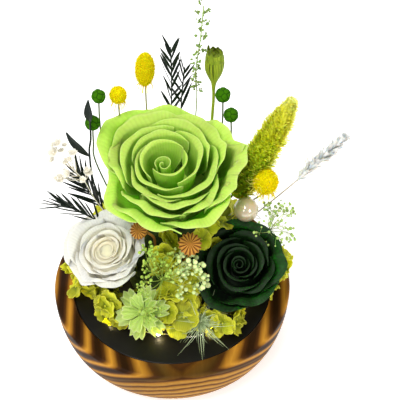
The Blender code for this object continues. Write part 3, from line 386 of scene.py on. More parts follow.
class Finish:
    """A material's nodes, with the paint values and the object's coordinates at hand."""

    def __init__(self, name, roughness=0.6, **sockets):
        self.material = bpy.data.materials.new(name)
        self.material.use_nodes = True
        self.tree = self.material.node_tree
        self.shader = self.tree.nodes["Principled BSDF"]
        for socket, value in {"Roughness": roughness, "Specular_IOR_Level": 0.2, **sockets}.items():
            self.shader.inputs[socket.replace("_", " ")].default_value = value
        paint = self.node("ShaderNodeAttribute", attribute_name="paint")
        parts = self.node("ShaderNodeSeparateColor", {"Color": paint.outputs["Color"]})
        self.across, self.along, self.tone = parts.outputs
        self.edge = paint.outputs["Alpha"]
        self.place = self.node("ShaderNodeTexCoord").outputs["Object"]

    def connect(self, value, socket):
        if isinstance(value, bpy.types.NodeSocket):
            self.tree.links.new(value, socket)
        else:
            socket.default_value = (*value, 1) if socket.type == "RGBA" else value

    def node(self, kind, values=None, **settings):
        made = self.tree.nodes.new(kind)
        for key, value in settings.items():
            setattr(made, key, value)
        for key, value in (values or {}).items():
            self.connect(value, made.inputs[key])
        return made

    def math(self, operation, *values):
        return self.node("ShaderNodeMath", dict(enumerate(values)), operation=operation).outputs[0]

    def noise(self, scale, detail, roughness=0.5, stretch=(1, 1, 1), distortion=0.0):
        place = self.node("ShaderNodeMapping", {"Vector": self.place, "Scale": stretch}).outputs[0]
        values = {"Vector": place, "Scale": scale, "Detail": detail, "Roughness": roughness}
        return self.node("ShaderNodeTexNoise", {**values, "Distortion": distortion}).outputs["Fac"]

    def ramp(self, value, stops):
        """Colours, or greys given as one number, at places from 0 to 1."""
        made = self.node("ShaderNodeValToRGB", {"Fac": value})
        line = made.color_ramp.elements
        while len(line) < len(stops):
            line.new(0.5)
        for element, (place, colour) in zip(line, stops):
            element.position = place
            element.color = (*colour, 1) if isinstance(colour, tuple) else (colour, colour, colour, 1)
        return made.outputs["Color"]

    def mix(self, share, first, second):
        made = self.node("ShaderNodeMix", data_type="RGBA")
        sockets = [made.inputs[0]] + [socket for socket in made.inputs if socket.type == "RGBA"]
        for value, socket in zip((share, first, second), sockets):
            self.connect(value, socket)
        return [socket for socket in made.outputs if socket.type == "RGBA"][0]

    def factor(self, value, low, high):
        return self.node("ShaderNodeMapRange", {"Value": value, "To Min": low, "To Max": high}).outputs[0]

    def scaled(self, colour, value, low, high):
        """The colour times a factor that runs from low to high as the value runs from 0 to 1."""
        values = {0: colour, "Scale": self.factor(value, low, high)}
        return self.node("ShaderNodeVectorMath", values, operation="SCALE").outputs[0]

    def colour(self, value):
        self.connect(value, self.shader.inputs["Base Color"])

    def rough(self, value, low, high):
        self.connect(self.factor(value, low, high), self.shader.inputs["Roughness"])

    def bump(self, *layers):
        """Each layer is a height from 0 to 1 and its depth in metres."""
        values = {"Strength": 1.0}
        for height, depth in layers:
            made = self.node("ShaderNodeBump", {**values, "Height": height, "Distance": depth})
            values["Normal"] = made.outputs[0]
        self.connect(values["Normal"], self.shader.inputs["Normal"])


def petal_finish(name, deep, mid, light, rim, radius, scale=0.003, weight=0.55, heart=None):
    """A preserved petal: deeper towards its root, partly its own colour and partly painted shade where the
    roots lie deep in the bloom, a thin painted highlight along its rim, faint veins that fan out, fine
    creases.

    rim is the colour of the painted highlight; heart is a bloom's middle, its reach and its colour."""
    look = Finish(name, Subsurface_Weight=weight, Subsurface_Scale=scale, Subsurface_Radius=radius)
    # Darker towards the root: partly the petal's own colour, partly painted shade deep in the bloom
    body = look.ramp(look.along, ((0.0, deep), (0.36, mid), (0.78, light), (1.0, light)))
    if heart:
        middle, reach, colour = heart
        away = look.node("ShaderNodeVectorMath", {0: look.place, 1: middle}, operation="DISTANCE")
        span = {"Value": away.outputs["Value"], "From Min": reach, "From Max": 0.2 * reach}
        near = look.node("ShaderNodeMapRange", span)
        body = look.mix(near.outputs[0], body, colour)
    body = look.scaled(body, look.noise(90, 4), 0.82, 1.13)
    body = look.scaled(body, look.tone, 0.93, 1.05)
    fan = look.math("SINE", look.math("MULTIPLY", look.across, 150.0))
    wander = look.math("ADD", fan, look.math("MULTIPLY", look.noise(300, 2), 1.5))
    body = look.scaled(body, wander, 0.965, 1.015)
    # Painted highlight: the rim colour laid along the petal's edges
    look.colour(look.mix(look.math("MULTIPLY", look.edge, 0.45), body, rim))
    look.bump((wander, 0.000018), (look.noise(260, 4), 0.00042), (look.noise(1500, 2), 0.00003))
    return look.material


def plain_finish(name, colour, noise_scale, spread, depth, **sockets):
    """One colour with a fine mottle and grain, for small or hidden pieces."""
    look = Finish(name, **sockets)
    body = look.node("ShaderNodeRGB").outputs[0]
    body.default_value = (*colour, 1)
    look.colour(look.scaled(body, look.noise(noise_scale, 4), 1 - spread, 1 + spread))
    look.bump((look.noise(noise_scale * 6, 3), depth))
    return look.material


def growth_finish(name, colours, spread=0.2, depth=0.00004, middle=0.5, **sockets):
    """A leaf, bud or hair: two or three colours from root to tip, and a tone of its own for each."""
    look = Finish(name, **sockets)
    places = (0.0, middle, 1.0) if len(colours) == 3 else (0.0, 1.0)
    body = look.scaled(look.ramp(look.along, tuple(zip(places, colours))), look.tone, 1 - spread, 1 + spread)
    look.colour(look.scaled(body, look.noise(350, 3), 0.88, 1.12))
    look.bump((look.noise(1050, 3), depth))
    return look.material


def wood_finish():
    """Scorched and brushed pine: growth rings about an axis under the base that runs front to back.

    They are thin on the wall and wide on the top, where the outermost rings are cut flat."""
    look = Finish("scorched_pine", Specular_IOR_Level=0.06)
    parts = look.node("ShaderNodeSeparateXYZ", {"Vector": look.place}).outputs
    warp = look.math("MULTIPLY", look.math("SUBTRACT", look.noise(16, 2, stretch=(1, 0.25, 1)), 0.5), 6 * MM)
    x = look.math("SUBTRACT", parts[0], RING_AXIS[0])
    z = look.math("SUBTRACT", parts[2], RING_AXIS[1])
    squares = look.math("ADD", look.math("MULTIPLY", x, x), look.math("MULTIPLY", z, z))
    depth = look.math("ADD", look.math("SQRT", squares), warp)
    waver = look.math("MULTIPLY", look.noise(70, 2, stretch=(1, 0.3, 1)), 2.6 * MM)
    thin = look.math("FRACT", look.math("DIVIDE", look.math("ADD", depth, waver), THIN_RING))
    wide = look.math("FRACT", look.math("DIVIDE", look.math("SUBTRACT", depth, WIDE_RING_START), WIDE_RING))
    dark, umber, brown = (0.022, 0.008, 0.002), (0.070, 0.025, 0.005), (0.12, 0.042, 0.008)
    gold, pale, bright = (0.34, 0.145, 0.016), (0.45, 0.235, 0.036), (0.50, 0.235, 0.026)
    wall = ((0.0, gold), (0.25, pale), (0.50, gold), (0.76, brown), (0.88, umber), (1.0, gold))
    top = (
        (0.0, dark), (0.14, umber), (0.27, gold), (0.39, bright), (0.50, gold), (0.64, umber), (0.80, dark),
    )
    share = look.ramp(depth, ((WALL_DEPTH, 0.0), (TOP_DEPTH, 1.0)))
    body = look.mix(share, look.ramp(thin, wall), look.ramp(wide, top))
    fibre = look.noise(420, 4, 0.6, stretch=(1, 0.04, 1))
    body = look.scaled(body, fibre, 0.74, 1.26)
    look.colour(look.scaled(body, look.noise(30, 3), 0.65, 1.3))
    look.rough(fibre, 0.42, 0.6)
    look.bump((look.ramp(thin, ((0.0, 0.6), (0.3, 1.0), (0.9, 0.4))), 0.00015), (fibre, 0.00008))
    return look.material


# The base, the plate, the foam and the lights

def rounded(points, radius):
    """The (radius, height) outline with each corner but the two ends rounded."""
    points = np.asarray(points, float)
    line = [points[0]]
    for before, corner, after in zip(points, points[1:], points[2:]):
        reach = min(radius, np.linalg.norm(before - corner) / 2.2, np.linalg.norm(after - corner) / 2.2)
        a = corner + unit(before - corner) * reach
        b = corner + unit(after - corner) * reach
        line += [(1 - t) ** 2 * a + 2 * t * (1 - t) * corner + t * t * b for t in np.linspace(0, 1, 5)]
    return line + [points[-1]]


def make_base():
    """The turned base: rounded rim, curved wall, chamfered foot and the recess for the battery holder."""
    plate_low, plate_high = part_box("black_plate")
    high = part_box("wooden_base")[1]
    seat = plate_high.x + CLEARANCE
    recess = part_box("battery_cover")[1].x + CLEARANCE
    outline = [(0, RECESS_DEPTH), (recess, RECESS_DEPTH), (recess, 0), (BASE_FOOT, 0)]
    outline.append((BASE_FOOT + FOOT_EDGE, FOOT_LIFT))
    for angle in np.linspace(math.pi / 2, 0, 17):
        bulge = (high.x - BASE_WAIST) * math.cos(angle)
        outline.append((BASE_WAIST + bulge, high.z - MM - WALL_DROP * math.sin(angle)))
    outline += [(high.x - RIM_EDGE, high.z), (seat, plate_high.z + SEAT_LIP)]
    outline += [(seat, plate_low.z - CLEARANCE), (0, plate_low.z - CLEARANCE)]
    turned = lathe(rounded(outline, 0.8 * MM), 192)
    piece("wooden_base_turned", [turned], wood_finish(), "wood", "wooden_base")


def make_plate():
    low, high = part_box("black_plate")
    outline = [(0, low.z), (high.x, low.z), (high.x, high.z), (0, high.z)]
    look = Finish("black_acrylic", roughness=0.3, Specular_IOR_Level=0.22)
    blacks = ((0.3, (0.002, 0.0018, 0.0015)), (0.75, (0.007, 0.006, 0.005)))
    look.colour(look.ramp(look.noise(60, 5, 0.6), blacks))
    look.rough(look.noise(45, 4), 0.25, 0.5)
    look.bump((look.noise(900, 3), 0.00001))
    disc = lathe(rounded(outline, 0.6 * MM), 160)
    piece("black_plate_disc", [disc], look.material, "plate_black", "black_plate")


def make_battery_parts():
    """The cover under the base, and the looks of the holder and cells, which are shown as packed."""
    plastic = plain_finish("black_moulding", (0.018, 0.018, 0.019), 900, 0.1, 0.00002, roughness=0.5)
    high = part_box("battery_cover")[1]
    outline = [(0, 0.5 * MM), (9 * MM, 0.5 * MM), (9.5 * MM, 0), (high.x, 0), (high.x, high.z), (0, high.z)]
    cover = lathe(rounded(outline, 0.3 * MM), 96)
    piece("battery_cover_disc", [cover], plastic, "plastic_black", "battery_cover")
    steel = plain_finish("cell_can", (0.5, 0.5, 0.52), 600, 0.08, 0.00001, roughness=0.3, Metallic=1.0)
    for node, finish in (("battery_holder", plastic), ("battery_cell_1", steel), ("battery_cell_2", steel)):
        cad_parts[node].data.materials[0] = finish


def make_foam():
    """The mound of foam, roughened and mossy."""
    low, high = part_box("floral_foam")
    radius, height, power = (high.x - low.x) / 2, high.z - low.z, 2.6
    share = np.sin(np.linspace(0, math.pi / 2, 25))
    reach = radius * np.maximum(1 - share ** power, 0) ** (1 / power)
    outline = [(0, low.z), *zip(reach, low.z + share * height)]
    mound = lathe(outline, 96, ((low.x + high.x) / 2, (low.y + high.y) / 2))
    for point in mound.points:
        if point[2] > low.z + MM:
            point += np.array(noise.noise_vector(Vector(point) * 260)) * 0.5 * MM
    look = Finish("foam_moss", roughness=0.95)
    stops = ((0.3, (0.012, 0.022, 0.006)), (0.55, (0.045, 0.075, 0.015)), (0.75, (0.12, 0.16, 0.03)))
    look.colour(look.ramp(look.noise(300, 5, 0.7), stops))
    look.bump((look.noise(700, 5, 0.7), 0.0006))
    piece("floral_foam_mound", [mound], look.material, "foam_green", "floral_foam")


def wire_place(degrees):
    """A point of the wire on the plate, at an angle round the foam."""
    angle = math.radians(degrees)
    bulge = WIRE_BULGE * math.exp(-((degrees - BULGE_ANGLE) / BULGE_SPREAD) ** 2)
    reach = WIRE_RING + bulge + 1.6 * math.sin(4 * angle) + 0.8 * math.sin(9 * angle)
    lie = 2 + 0.5 * math.sin(5 * angle)
    return mm(reach * math.cos(angle), reach * math.sin(angle) + 2, lie) + (0, 0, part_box("black_plate")[1].z)


def make_wire():
    """Two thin silver strands, twisted, from the holder up through the hole and round the foam."""
    lead = [mm(-8, 28.5, 15), mm(-8, 28.5, 32.6), mm(-9, 31, 34.7)]
    ring = [wire_place(WIRE_START + WIRE_SWEEP * n / WIRE_STEPS) for n in range(WIRE_STEPS + 1)]
    path = smooth_path(lead + ring)
    tangents = unit(np.gradient(path, axis=0))
    across = unit(np.cross(tangents, (0.05, 0.02, 1)))
    up = np.cross(tangents, across)
    turn = np.arange(len(path))[:, None] * 0.9
    swing = (across * np.cos(turn) + up * np.sin(turn)) * 0.22 * MM
    strands = [tube(path + swing, 0.2 * MM, 6), tube(path - swing, 0.2 * MM, 6)]
    metal = plain_finish("bright_wire", (0.85, 0.82, 0.76), 500, 0.05, 0.000005, roughness=0.25, Metallic=1.0)
    piece("light_wire_strands", strands, metal, "wire_silver", "light_wire")


def make_lamps():
    """A clear drop of resin and a tiny light at each bead of the wire."""
    beads = [wire_place(FIRST_BEAD + BEAD_PITCH * n) for n in range(BEADS)]
    frames = aimed(beads, [(0.2, 0.1, 1)] * BEADS, [1.15 * MM] * BEADS, range(BEADS))
    drops = scattered(small_ball(10, 16, 0), frames, [0.5] * BEADS)
    glow = Finish("lamp_resin", roughness=0.1, Emission_Strength=14.0, Emission_Color=(1, 0.86, 0.55, 1))
    glow.colour(glow.ramp(glow.noise(400, 2), ((0.0, (1.0, 0.9, 0.7)), (1.0, (1.0, 0.97, 0.9)))))
    piece("light_wire_lamps", [drops], glow.material, "wire_silver", "light_wire")
    for n, bead in enumerate(beads):
        lamp = bpy.data.lights.new(f"lamp_{n + 1}", "POINT")
        lamp.energy = 0.004
        lamp.color = (1, 0.82, 0.45)
        lamp.shadow_soft_size = 0.8 * MM
        placed(lamp, bead + mm(0, 0, 2.4))


# Roses

def bloom_frame(rose):
    """The matrix to a bloom's place: +Z the way it faces, +X level and to its right."""
    z = unit(np.array(rose["faces"], float))
    x = unit(np.cross((0, 0, 1), z))
    matrix = np.eye(4)
    matrix[:3, :3] = np.stack([x, np.cross(z, x), z], axis=1)
    matrix[:3, 3] = mm(*rose["foot"])
    return matrix


def petal_grid(rose, petal, rng):
    """One petal, from the core out to a rim that rolls over, a little outside the next at one side edge."""
    angle, half, rim, rim_height, swing = petal
    radius, height, ruffle = rose["radius"] * MM, rose["height"] * MM, rose["ruffle"] * rim * MM
    root = (0.02 + 0.36 * rim) * radius
    lift = 0.26 * height - 0.40 * root
    roll = (rose["roll"][0] + rose["roll"][1] * rim * rim) * MM
    top = rim_height * height * rng.uniform(0.99, 1.01) - 0.62 * roll
    s, v = spans(28, 24)
    t = v * (1 - 0.12 * np.abs(s) ** 3 - 0.14 * np.maximum(s * np.sign(swing), 0) ** 5)
    width = 0.3 + 0.7 * np.sin(np.minimum(t / 0.7, 1) * math.pi / 2)
    turn = math.radians(angle) + s * math.radians(half) * width
    outline = np.interp(np.degrees(turn), *zip(*rose["outline"]), period=360)
    reach = radius * rim * (1 + (outline - 1) * rim ** 3)
    middle = rng.uniform(-0.3, 0.3)
    tip = rose["point"] * rim * MM * np.exp(-((s - middle) / 0.3) ** 2) * rng.uniform(0.4, 1.0)
    waves = sum(
        np.sin(s * rate + rng.uniform(0, 6.28)) * share
        for rate, share in ((2.4, 0.42), (5.6, 0.34), (11.5, 0.24))
    )
    curl = roll * (1 - 0.35 * s ** 2) * (1 + 0.28 * waves)
    wall = reach - curl
    u = np.minimum(t / ROLL_START, 1)
    belly, rise = rose["belly"]
    r = (1 - u) ** 2 * root + 2 * u * (1 - u) * (root + belly * (wall - root)) + u * u * wall
    z = (1 - u) ** 2 * lift + 2 * u * (1 - u) * (lift + rise * (top - lift)) + u * u * top
    w = np.maximum(0.0, (t - ROLL_START) / (1 - ROLL_START))
    bend = w * 1.6
    r = r + (curl + tip) * (1 - np.cos(bend)) / 1.03 + swing * MM * s * t
    z = z + (curl * 0.62 + ruffle * 0.5 * waves) * np.sin(bend) - tip * 0.4 * w ** 2 + ruffle * waves * w
    return polar_grid(r, turn, z, np.array(rose["heart"]) * MM * max(0.0, 1 - rim))


def scroll_grid(rose):
    """The rolled petal at the heart of a bloom, a small open tube of one turn and a third."""
    radius, height = rose["radius"] * MM, rose["height"] * MM
    s, v = spans(60, 12, left=0.0)
    r = (0.03 + 0.095 * s ** 0.7) * radius * (0.75 + 0.3 * v ** 2) + 0.12 * MM * np.sin(9 * s) * v
    z = (0.22 + (rose["heart_height"] - 0.22) * v - 0.05 * (1 - s) * v + 0.01 * np.sin(14 * s) * v) * height
    return polar_grid(r, 1.3 * FULL_TURN * s + 2.2, z, np.array(rose["heart"]) * MM)


def creased(grid, amount, scale, seed):
    """The grid with soft dents, least at the petal's foot."""
    a, b = grid.shape[:2]
    shift = Vector((seed * 3.1, seed * 1.7, 0))
    for i in range(a):
        for j in range(b):
            dent = noise.noise_vector(Vector(grid[i, j]) * scale + shift)
            grid[i, j] += np.array(dent) * amount * (j / (b - 1))
    return grid


def make_rose(colour, rose, petals, finish, seed):
    rng = random.Random(seed)
    shapes = [sheet(scroll_grid(rose), PETAL_THICKNESS, 0.3, rim=0.10)]
    for petal in petals:
        grid = petal_grid(rose, petal, rng)
        grid = creased(grid, (0.2 + 0.5 * petal[2]) * MM, 110, rng.uniform(0, 90))
        shapes.append(sheet(grid, PETAL_THICKNESS, rng.random(), rim=0.035))
    radius, height, fill = rose["radius"] * MM, rose["height"] * MM, rose["fill"]
    core = ((0, 0), (0.16, 0), (0.50, 0.09), (0.62, 0.5 * fill), (0.5, 0.9 * fill), (0.1, fill), (0, fill))
    shapes.append(lathe([(share * radius, rise * height) for share, rise in core], 28))
    shapes = [shape.moved(bloom_frame(rose)) for shape in shapes]
    name = colour + "_rose"
    piece(name + "_petals", shapes, finish, "rose_" + colour, name, sharp=70)


def make_roses():
    green = petal_finish(
        "green_petal", (0.045, 0.21, 0.008), (0.24, 0.50, 0.032), (0.44, 0.69, 0.10), (0.58, 0.80, 0.22),
        radius=(0.5, 1.0, 0.25))
    make_rose("green", GREEN_ROSE, OPEN_PETALS, green, 1)
    heart = bloom_frame(WHITE_ROSE) @ (0, 0, 0.9 * WHITE_ROSE["height"] * MM, 1)
    white = petal_finish(
        "white_petal", (0.95, 0.82, 0.50), (0.97, 0.92, 0.74), (0.97, 0.94, 0.80), (0.99, 0.97, 0.88),
        radius=(1.0, 0.9, 0.7), scale=0.006, weight=0.75, heart=(tuple(heart[:3]), 0.013, (0.92, 0.80, 0.50)))
    make_rose("white", WHITE_ROSE, CUPPED_PETALS, white, 2)
    dark = petal_finish(
        "dark_petal", (0.001, 0.002, 0.001), (0.002, 0.007, 0.002), (0.0035, 0.016, 0.0015),
        (0.005, 0.019, 0.003), radius=(0.4, 1.0, 0.3))
    make_rose("dark", DARK_ROSE, DARK_PETALS, dark, 3)


def calyx_shapes(rose):
    """Cup, five pointed sepals and the stem that runs into the foam."""
    axis = unit(np.array(rose["faces"], float))
    radius = rose["radius"] * MM
    cup = 0.13 * radius
    top = mm(*rose["foot"]) - axis * CLEARANCE
    low = top - axis * 4.4 * MM
    line = smooth_path([low, top - axis * 2.6 * MM, top - axis * 0.9 * MM, top])
    wide = np.interp(np.linspace(0, 1, len(line)), (0, 0.33, 0.7, 1), (1.3 * MM, 0.75 * cup, cup, 0.85 * cup))
    shapes = [tube(line, wide, 20), tube([mm(*rose["stem_in"]), low + axis * MM], 1.4 * MM, 12)]
    s, v = spans(8, 12)
    spread = s * 0.075 * radius * np.sin(math.pi * np.clip(0.22 + 0.78 * v, 0, 1)) ** 0.8
    drop = -1.7 * MM - 1.4 * MM * v ** 2 + np.abs(s) * 0.4 * MM
    sepal = sheet(gridded(0.32 * radius * v, spread, drop), 0.3 * MM)
    return shapes + [sepal.moved(facing(axis, top, turn)) for turn in around(5)]


def make_calyxes():
    finish = growth_finish("calyx_skin", ((0.10, 0.20, 0.04), (0.16, 0.32, 0.06)), roughness=0.6)
    for colour, rose in (("green", GREEN_ROSE), ("white", WHITE_ROSE), ("dark", DARK_ROSE)):
        piece(colour + "_rose_sepals", calyx_shapes(rose), finish, "calyx_green", colour + "_rose_calyx")


# Templates: small shapes that are copied many times

def spike():
    """A three-sided cone along +Z with unit length and a unit radius at its base."""
    angle = around(3)
    base = np.stack([np.cos(angle), np.sin(angle), 0 * angle], axis=-1)
    shape = Shape(np.vstack([base, (0, 0, 1)]), [[(0, 1, 3), (1, 2, 3), (2, 0, 3), (2, 1, 0)]])
    shape.paint[-1, 1] = 1
    return shape


def bent_hair(bend):
    """A fine hair along +Z that bends towards +X."""
    v = np.linspace(0, 1, 3)
    return tube(np.stack([bend * v ** 2, 0 * v, v], axis=-1), 1 - 0.85 * v, 3)


def blade():
    """A narrow leaf along +Z, about a unit wide each side, bent towards +Y and folded along its middle."""
    s, v = spans(2, 6)
    wide = 0.06 + 0.94 * np.sin(math.pi * np.minimum(0.12 + 0.86 * v, 0.985)) ** 0.8
    return sheet(gridded(s * wide, 0.12 * v ** 2 + 0.35 * np.abs(s) * wide, v), 0.3)


def small_ball(rings, sides, rise=1):
    """A unit ball whose middle is at a height: at 1 it stands on the origin."""
    angle = np.linspace(0, math.pi, rings + 1)
    return lathe([(math.sin(a), rise - math.cos(a)) for a in angle], sides)


def spot_along(path, share):
    """The point at a share of a path's points, and the path's direction there."""
    place = share * (len(path) - 1)
    i = min(int(place), len(path) - 2)
    return path[i] + (path[i + 1] - path[i]) * (place - i), unit(path[i + 1] - path[i])


def over_ellipsoid(centre, axis, length, width, count):
    """Places spread evenly over an ellipsoid, with the outward directions there."""
    half = np.array((width, width, length)) / 2
    turn = facing(axis)[:3, :3]
    ways = ball_points(count)
    return centre + (ways * half) @ turn.T, unit((ways / half) @ turn.T)


def ellipsoid(centre, axis, length, width, rings=12, sides=20):
    """A round head, as a body of revolution about its axis."""
    angle = np.linspace(0, math.pi, rings + 1)[1:-1]
    path = centre + unit(np.array(axis, float)) * (-np.cos(angle) * length / 2)[:, None]
    return tube(path, np.sin(angle) * width / 2, sides, 0.5)


# Heads

def drooping_fibre(root, rng, reach):
    """One loose fibre that starts beside a point and droops away from it."""
    turn = rng.uniform(0, FULL_TURN)
    out = np.array((math.cos(turn), math.sin(turn), 0)) * reach
    drop = np.array((0, 0, -rng.uniform(2.0, 4.4) * MM))
    points = [root + out * 0.6, root + out + drop * 0.4, root + out * rng.uniform(0.9, 1.5) + drop]
    return strand(points, 0.17 * MM, 4, 3, rng.random())


def loose_threads(centre, radius, count, rng):
    """Pale threads that stick out of a round head, mostly at its left and below, and curl a little."""
    shapes = []
    for _ in range(count):
        way = unit(rng.normal(0, 0.75, 3) + (-0.75, -0.35, -0.35))
        root = centre + way * radius * 0.9
        reach = rng.uniform(1.6, 4.6) * MM
        sag = rng.normal(0, 0.25, 3) * reach + (0, 0, 0.12 * reach)
        points = [root, root + way * reach * 0.5, root + way * reach + sag]
        shapes.append(strand(points, 0.13 * MM, 4, 3, rng.random()))
    return shapes


def fluffy_head(centre, length, width, tone, rng):
    """A dense skin of tiny blunt florets, fibres between them and a few that hang below."""
    axis = (0.05, 0, 1)
    count = int(7.0 * length * width)
    core = ellipsoid(centre, axis, length * 0.93 * MM, width * 0.93 * MM)
    places, ways = over_ellipsoid(centre, axis, length * 0.95 * MM, width * 0.95 * MM, count)
    places = places + rng.normal(0, 0.10 * MM, places.shape)
    sizes = rng.uniform(0.22, 0.40, count) * MM
    nubs = strewn(small_ball(4, 6), places - ways * sizes[:, None] * 0.8, ways, sizes, rng)
    nubs.paint[:, 2] *= tone
    hairs = int(count * 1.2)
    picks = rng.integers(0, count, hairs)
    lean = unit(ways[picks] + rng.normal(0, 0.4, (hairs, 3)))
    sizes = np.full((hairs, 3), 0.09)
    sizes[:, 2] = rng.uniform(0.8, 1.8, hairs)
    fibres = strewn(spike(), places[picks], lean, sizes * MM, rng)
    low = centre - mm(0, 0, length * 0.38)
    return [core, nubs, fibres] + [drooping_fibre(low, rng, 0.36 * width * MM) for _ in range(30)]


def make_yellow_heads():
    # Florets run from a deep orange at their roots, down in the gaps between them, to yellow at their tips:
    # partly their own colour, partly painted shade
    look = growth_finish(
        "yellow_fluff", ((0.50, 0.27, 0.001), (0.80, 0.59, 0.001), (0.95, 0.80, 0.004)), spread=0.24,
        depth=0.00003, roughness=0.95, Subsurface_Weight=0.4, Subsurface_Scale=0.0012,
        Specular_IOR_Level=0.05)
    green = growth_finish("wire_stem", ((0.20, 0.20, 0.05), (0.34, 0.32, 0.10)), roughness=0.6)
    pale = growth_finish("yellow_thread", ((0.70, 0.55, 0.01), (0.80, 0.76, 0.16)), roughness=0.8)
    heads = (
        ("tall", (-12.4, 51, 134.1), 20, 9.3, 0.45, 0,
         (-9, 17, 48), [(-11, 28, 62), (-12, 49, 88), (-12.6, 51, 110)]),
        ("left", (-25.9, 45, 122.8), 9, 8.2, 1, 0,
         (-13, 15, 48), [(-18, 24, 62), (-25, 42, 88), (-26, 45, 106)]),
        ("right", (47.2, 15, 92.2), 13.5, 12.3, 1, 44,
         (16, 13, 45), [(23, 15, 55), (38, 18, 72), (46, 16.5, 82)]),
    )
    for seed, (side, centre, length, width, tone, threads, inner, via) in enumerate(heads):
        rng = np.random.default_rng(60 + seed)
        name = "yellow_head_" + side
        piece(name + "_fluff", fluffy_head(mm(*centre), length, width, tone, rng), look, "fluff_yellow", name)
        if threads:
            loose = loose_threads(mm(*centre), width / 2 * MM, threads, rng)
            piece(name + "_threads", loose, pale, "fluff_yellow", name)
        piece(name + "_stem", [stem(inner, via + [centre], 0.4 * MM)], green, "fluff_yellow", name)


def fine_ball():
    """The points and faces of a unit ball of even triangles."""
    mesh = bpy.data.meshes.new("ball")
    ball = bmesh.new()
    bmesh.ops.create_icosphere(ball, subdivisions=5, radius=1)
    ball.to_mesh(mesh)
    ball.free()
    points = np.array([vertex.co for vertex in mesh.vertices])
    faces = np.array([polygon.vertices for polygon in mesh.polygons])
    bpy.data.meshes.remove(mesh)
    return points, faces


def faceted_ball(radius, facets, seed):
    """A ball whose surface bulges a little in each facet, with a narrow groove between facets."""
    rng = np.random.default_rng(seed)
    seeds = unit(ball_points(facets) + rng.normal(0, 0.12, (facets, 3)))
    points, faces = fine_ball()
    nearness = np.sort(points @ seeds.T, axis=1)
    groove = np.clip((nearness[:, -1] - nearness[:, -2]) / 0.06, 0, 1)
    reach = radius * (0.925 + 0.065 * groove + 0.5 * (nearness[:, -1] - 0.9))
    shape = Shape(points * reach[:, None], [faces])
    shape.paint[:, 1] = (points[:, 2] + 1) / 2
    shape.paint[:, 3] = 1 - groove
    return shape


def make_green_balls():
    """Small dyed balls: shallow facets with fine seams, on wire stems."""
    look = Finish("green_ball_nap", roughness=0.9, Specular_IOR_Level=0.08)
    greens = ((0.0, (0.036, 0.145, 0.001)), (0.5, (0.020, 0.09, 0.001)), (1.0, (0.004, 0.02, 0.001)))
    look.colour(look.scaled(look.ramp(look.edge, greens), look.noise(700, 4), 0.75, 1.3))
    look.bump((look.noise(1500, 3), 0.00008))
    wire = growth_finish("ball_wire", ((0.06, 0.10, 0.02), (0.10, 0.15, 0.03)), roughness=0.5)
    balls = (
        ((-34.9, 40, 126.4), 7.0, (-15, 12, 48), [(-21, 19, 62), (-34, 36, 88), (-35.5, 39.5, 108)]),
        ((-37.9, 31, 117), 7.5, (-16, 9, 48), [(-24, 14, 63), (-38, 30, 90), (-38.5, 31, 104)]),
        ((26, 46, 122), 7.6, (8, 18, 48), [(14, 28, 62), (25, 44, 84), (26, 46, 104)]),
        ((30.1, 42, 112.3), 7.4, (11, 16, 48), [(18, 25, 62), (30, 41, 84), (30.5, 42, 98)]),
    )
    for n, (centre, width, inner, via) in enumerate(balls):
        name = f"green_ball_{n + 1}"
        ball = faceted_ball(width / 2 * MM, 20, 90 + n).moved(facing((0, 0.1, 1), mm(*centre)))
        piece(name + "_nap", [ball], look.material, "ball_green", name, sharp=80)
        piece(name + "_wire", [stem(inner, via + [centre], 0.42 * MM)], wire, "ball_green", name)


POD_FOOT = (21.4, 51, 125)


def pod_barrel():
    """The pod's skin of long wrinkled scales, with creases between them that deepen upwards."""
    sides = 120
    angle = around(sides)
    rise = np.linspace(-4, 19.5, 40)[:, None]
    heights = (-4, 0, 2.4, 4.8, 8.5, 12.0, 16.0, 19.5)
    reach = np.interp(rise[:, 0], heights, (0.85, 1.15, 1.9, 3.0, 4.4, 4.9, 4.55, 3.9))
    reach = np.convolve(np.pad(reach, 2, "edge"), np.ones(5) / 5, "valid")
    depth = np.clip((rise - 1) / 9, 0, 1)
    crease = 0
    for n, middle in enumerate((0.3, 1.1, 1.9, 2.6, 3.3, 4.04, 4.66, 5.26, 5.8)):
        drift = angle - middle - 0.012 * (-1) ** n * rise
        crease = np.maximum(crease, np.exp(-(drift / 0.085) ** 2) * (0.6 + 0.4 * math.sin(5 * middle)))
    wrinkle = np.cos(19 * angle + 0.35 * rise) + np.cos(31 * angle - 0.5 * rise)
    path = mm(*POD_FOOT) + np.hstack([0.02 * rise, 0 * rise, rise]) * MM
    skin = tube(path, reach * MM, sides, 0.5, 1 - depth * (0.13 * crease + 0.016 * wrinkle))
    # Painted shade: darker in the creases and wrinkles, more so towards the top where they deepen, and dark on
    # the flat cap over the open top, where the inside lies in shade
    skin.paint[:-2, 3] = np.clip(depth * (0.85 * crease + 0.16 + 0.13 * wrinkle), 0, 1).ravel()
    skin.paint[-1, 3] = 0.8
    return skin


def pod_tips():
    """Ragged tips that close in round the pod's open top, in an outer and an inner ring."""
    rng = random.Random(8)
    top = mm(*POD_FOOT) + mm(0.4, 0, 15.5)
    s, v = spans(6, 7)
    wide = 1.75 * MM * np.sqrt(1 - 0.96 * v ** 2)
    leaves = []
    for n in range(14):
        turn = FULL_TURN * (n + 0.35) / 8
        out = np.array((math.cos(turn), math.sin(turn), 0))
        across = np.array((-out[1], out[0], 0))
        inset = 1.9 * MM * (n > 7)
        tall = rng.uniform(4.8, 7.0) * MM
        lean = 4.5 * MM * (1 - 0.24 * v ** 1.6 * rng.uniform(0.6, 1.3))
        lean = lean - 0.45 * MM * s ** 2 + 0.15 * MM * np.sin(9 * v) - inset
        grid = top + out * lean[..., None] + across * (s * wide)[..., None]
        leaf = sheet(grid + np.array((0, 0, 1)) * (v * tall)[..., None], 0.3 * MM, 0.4)
        leaf.paint[:, 3] = 0.18 + 0.35 * leaf.paint[:, 1] ** 3 + 0.55 * np.abs(leaf.paint[:, 0] - 0.5)
        leaves.append(leaf)
    return leaves


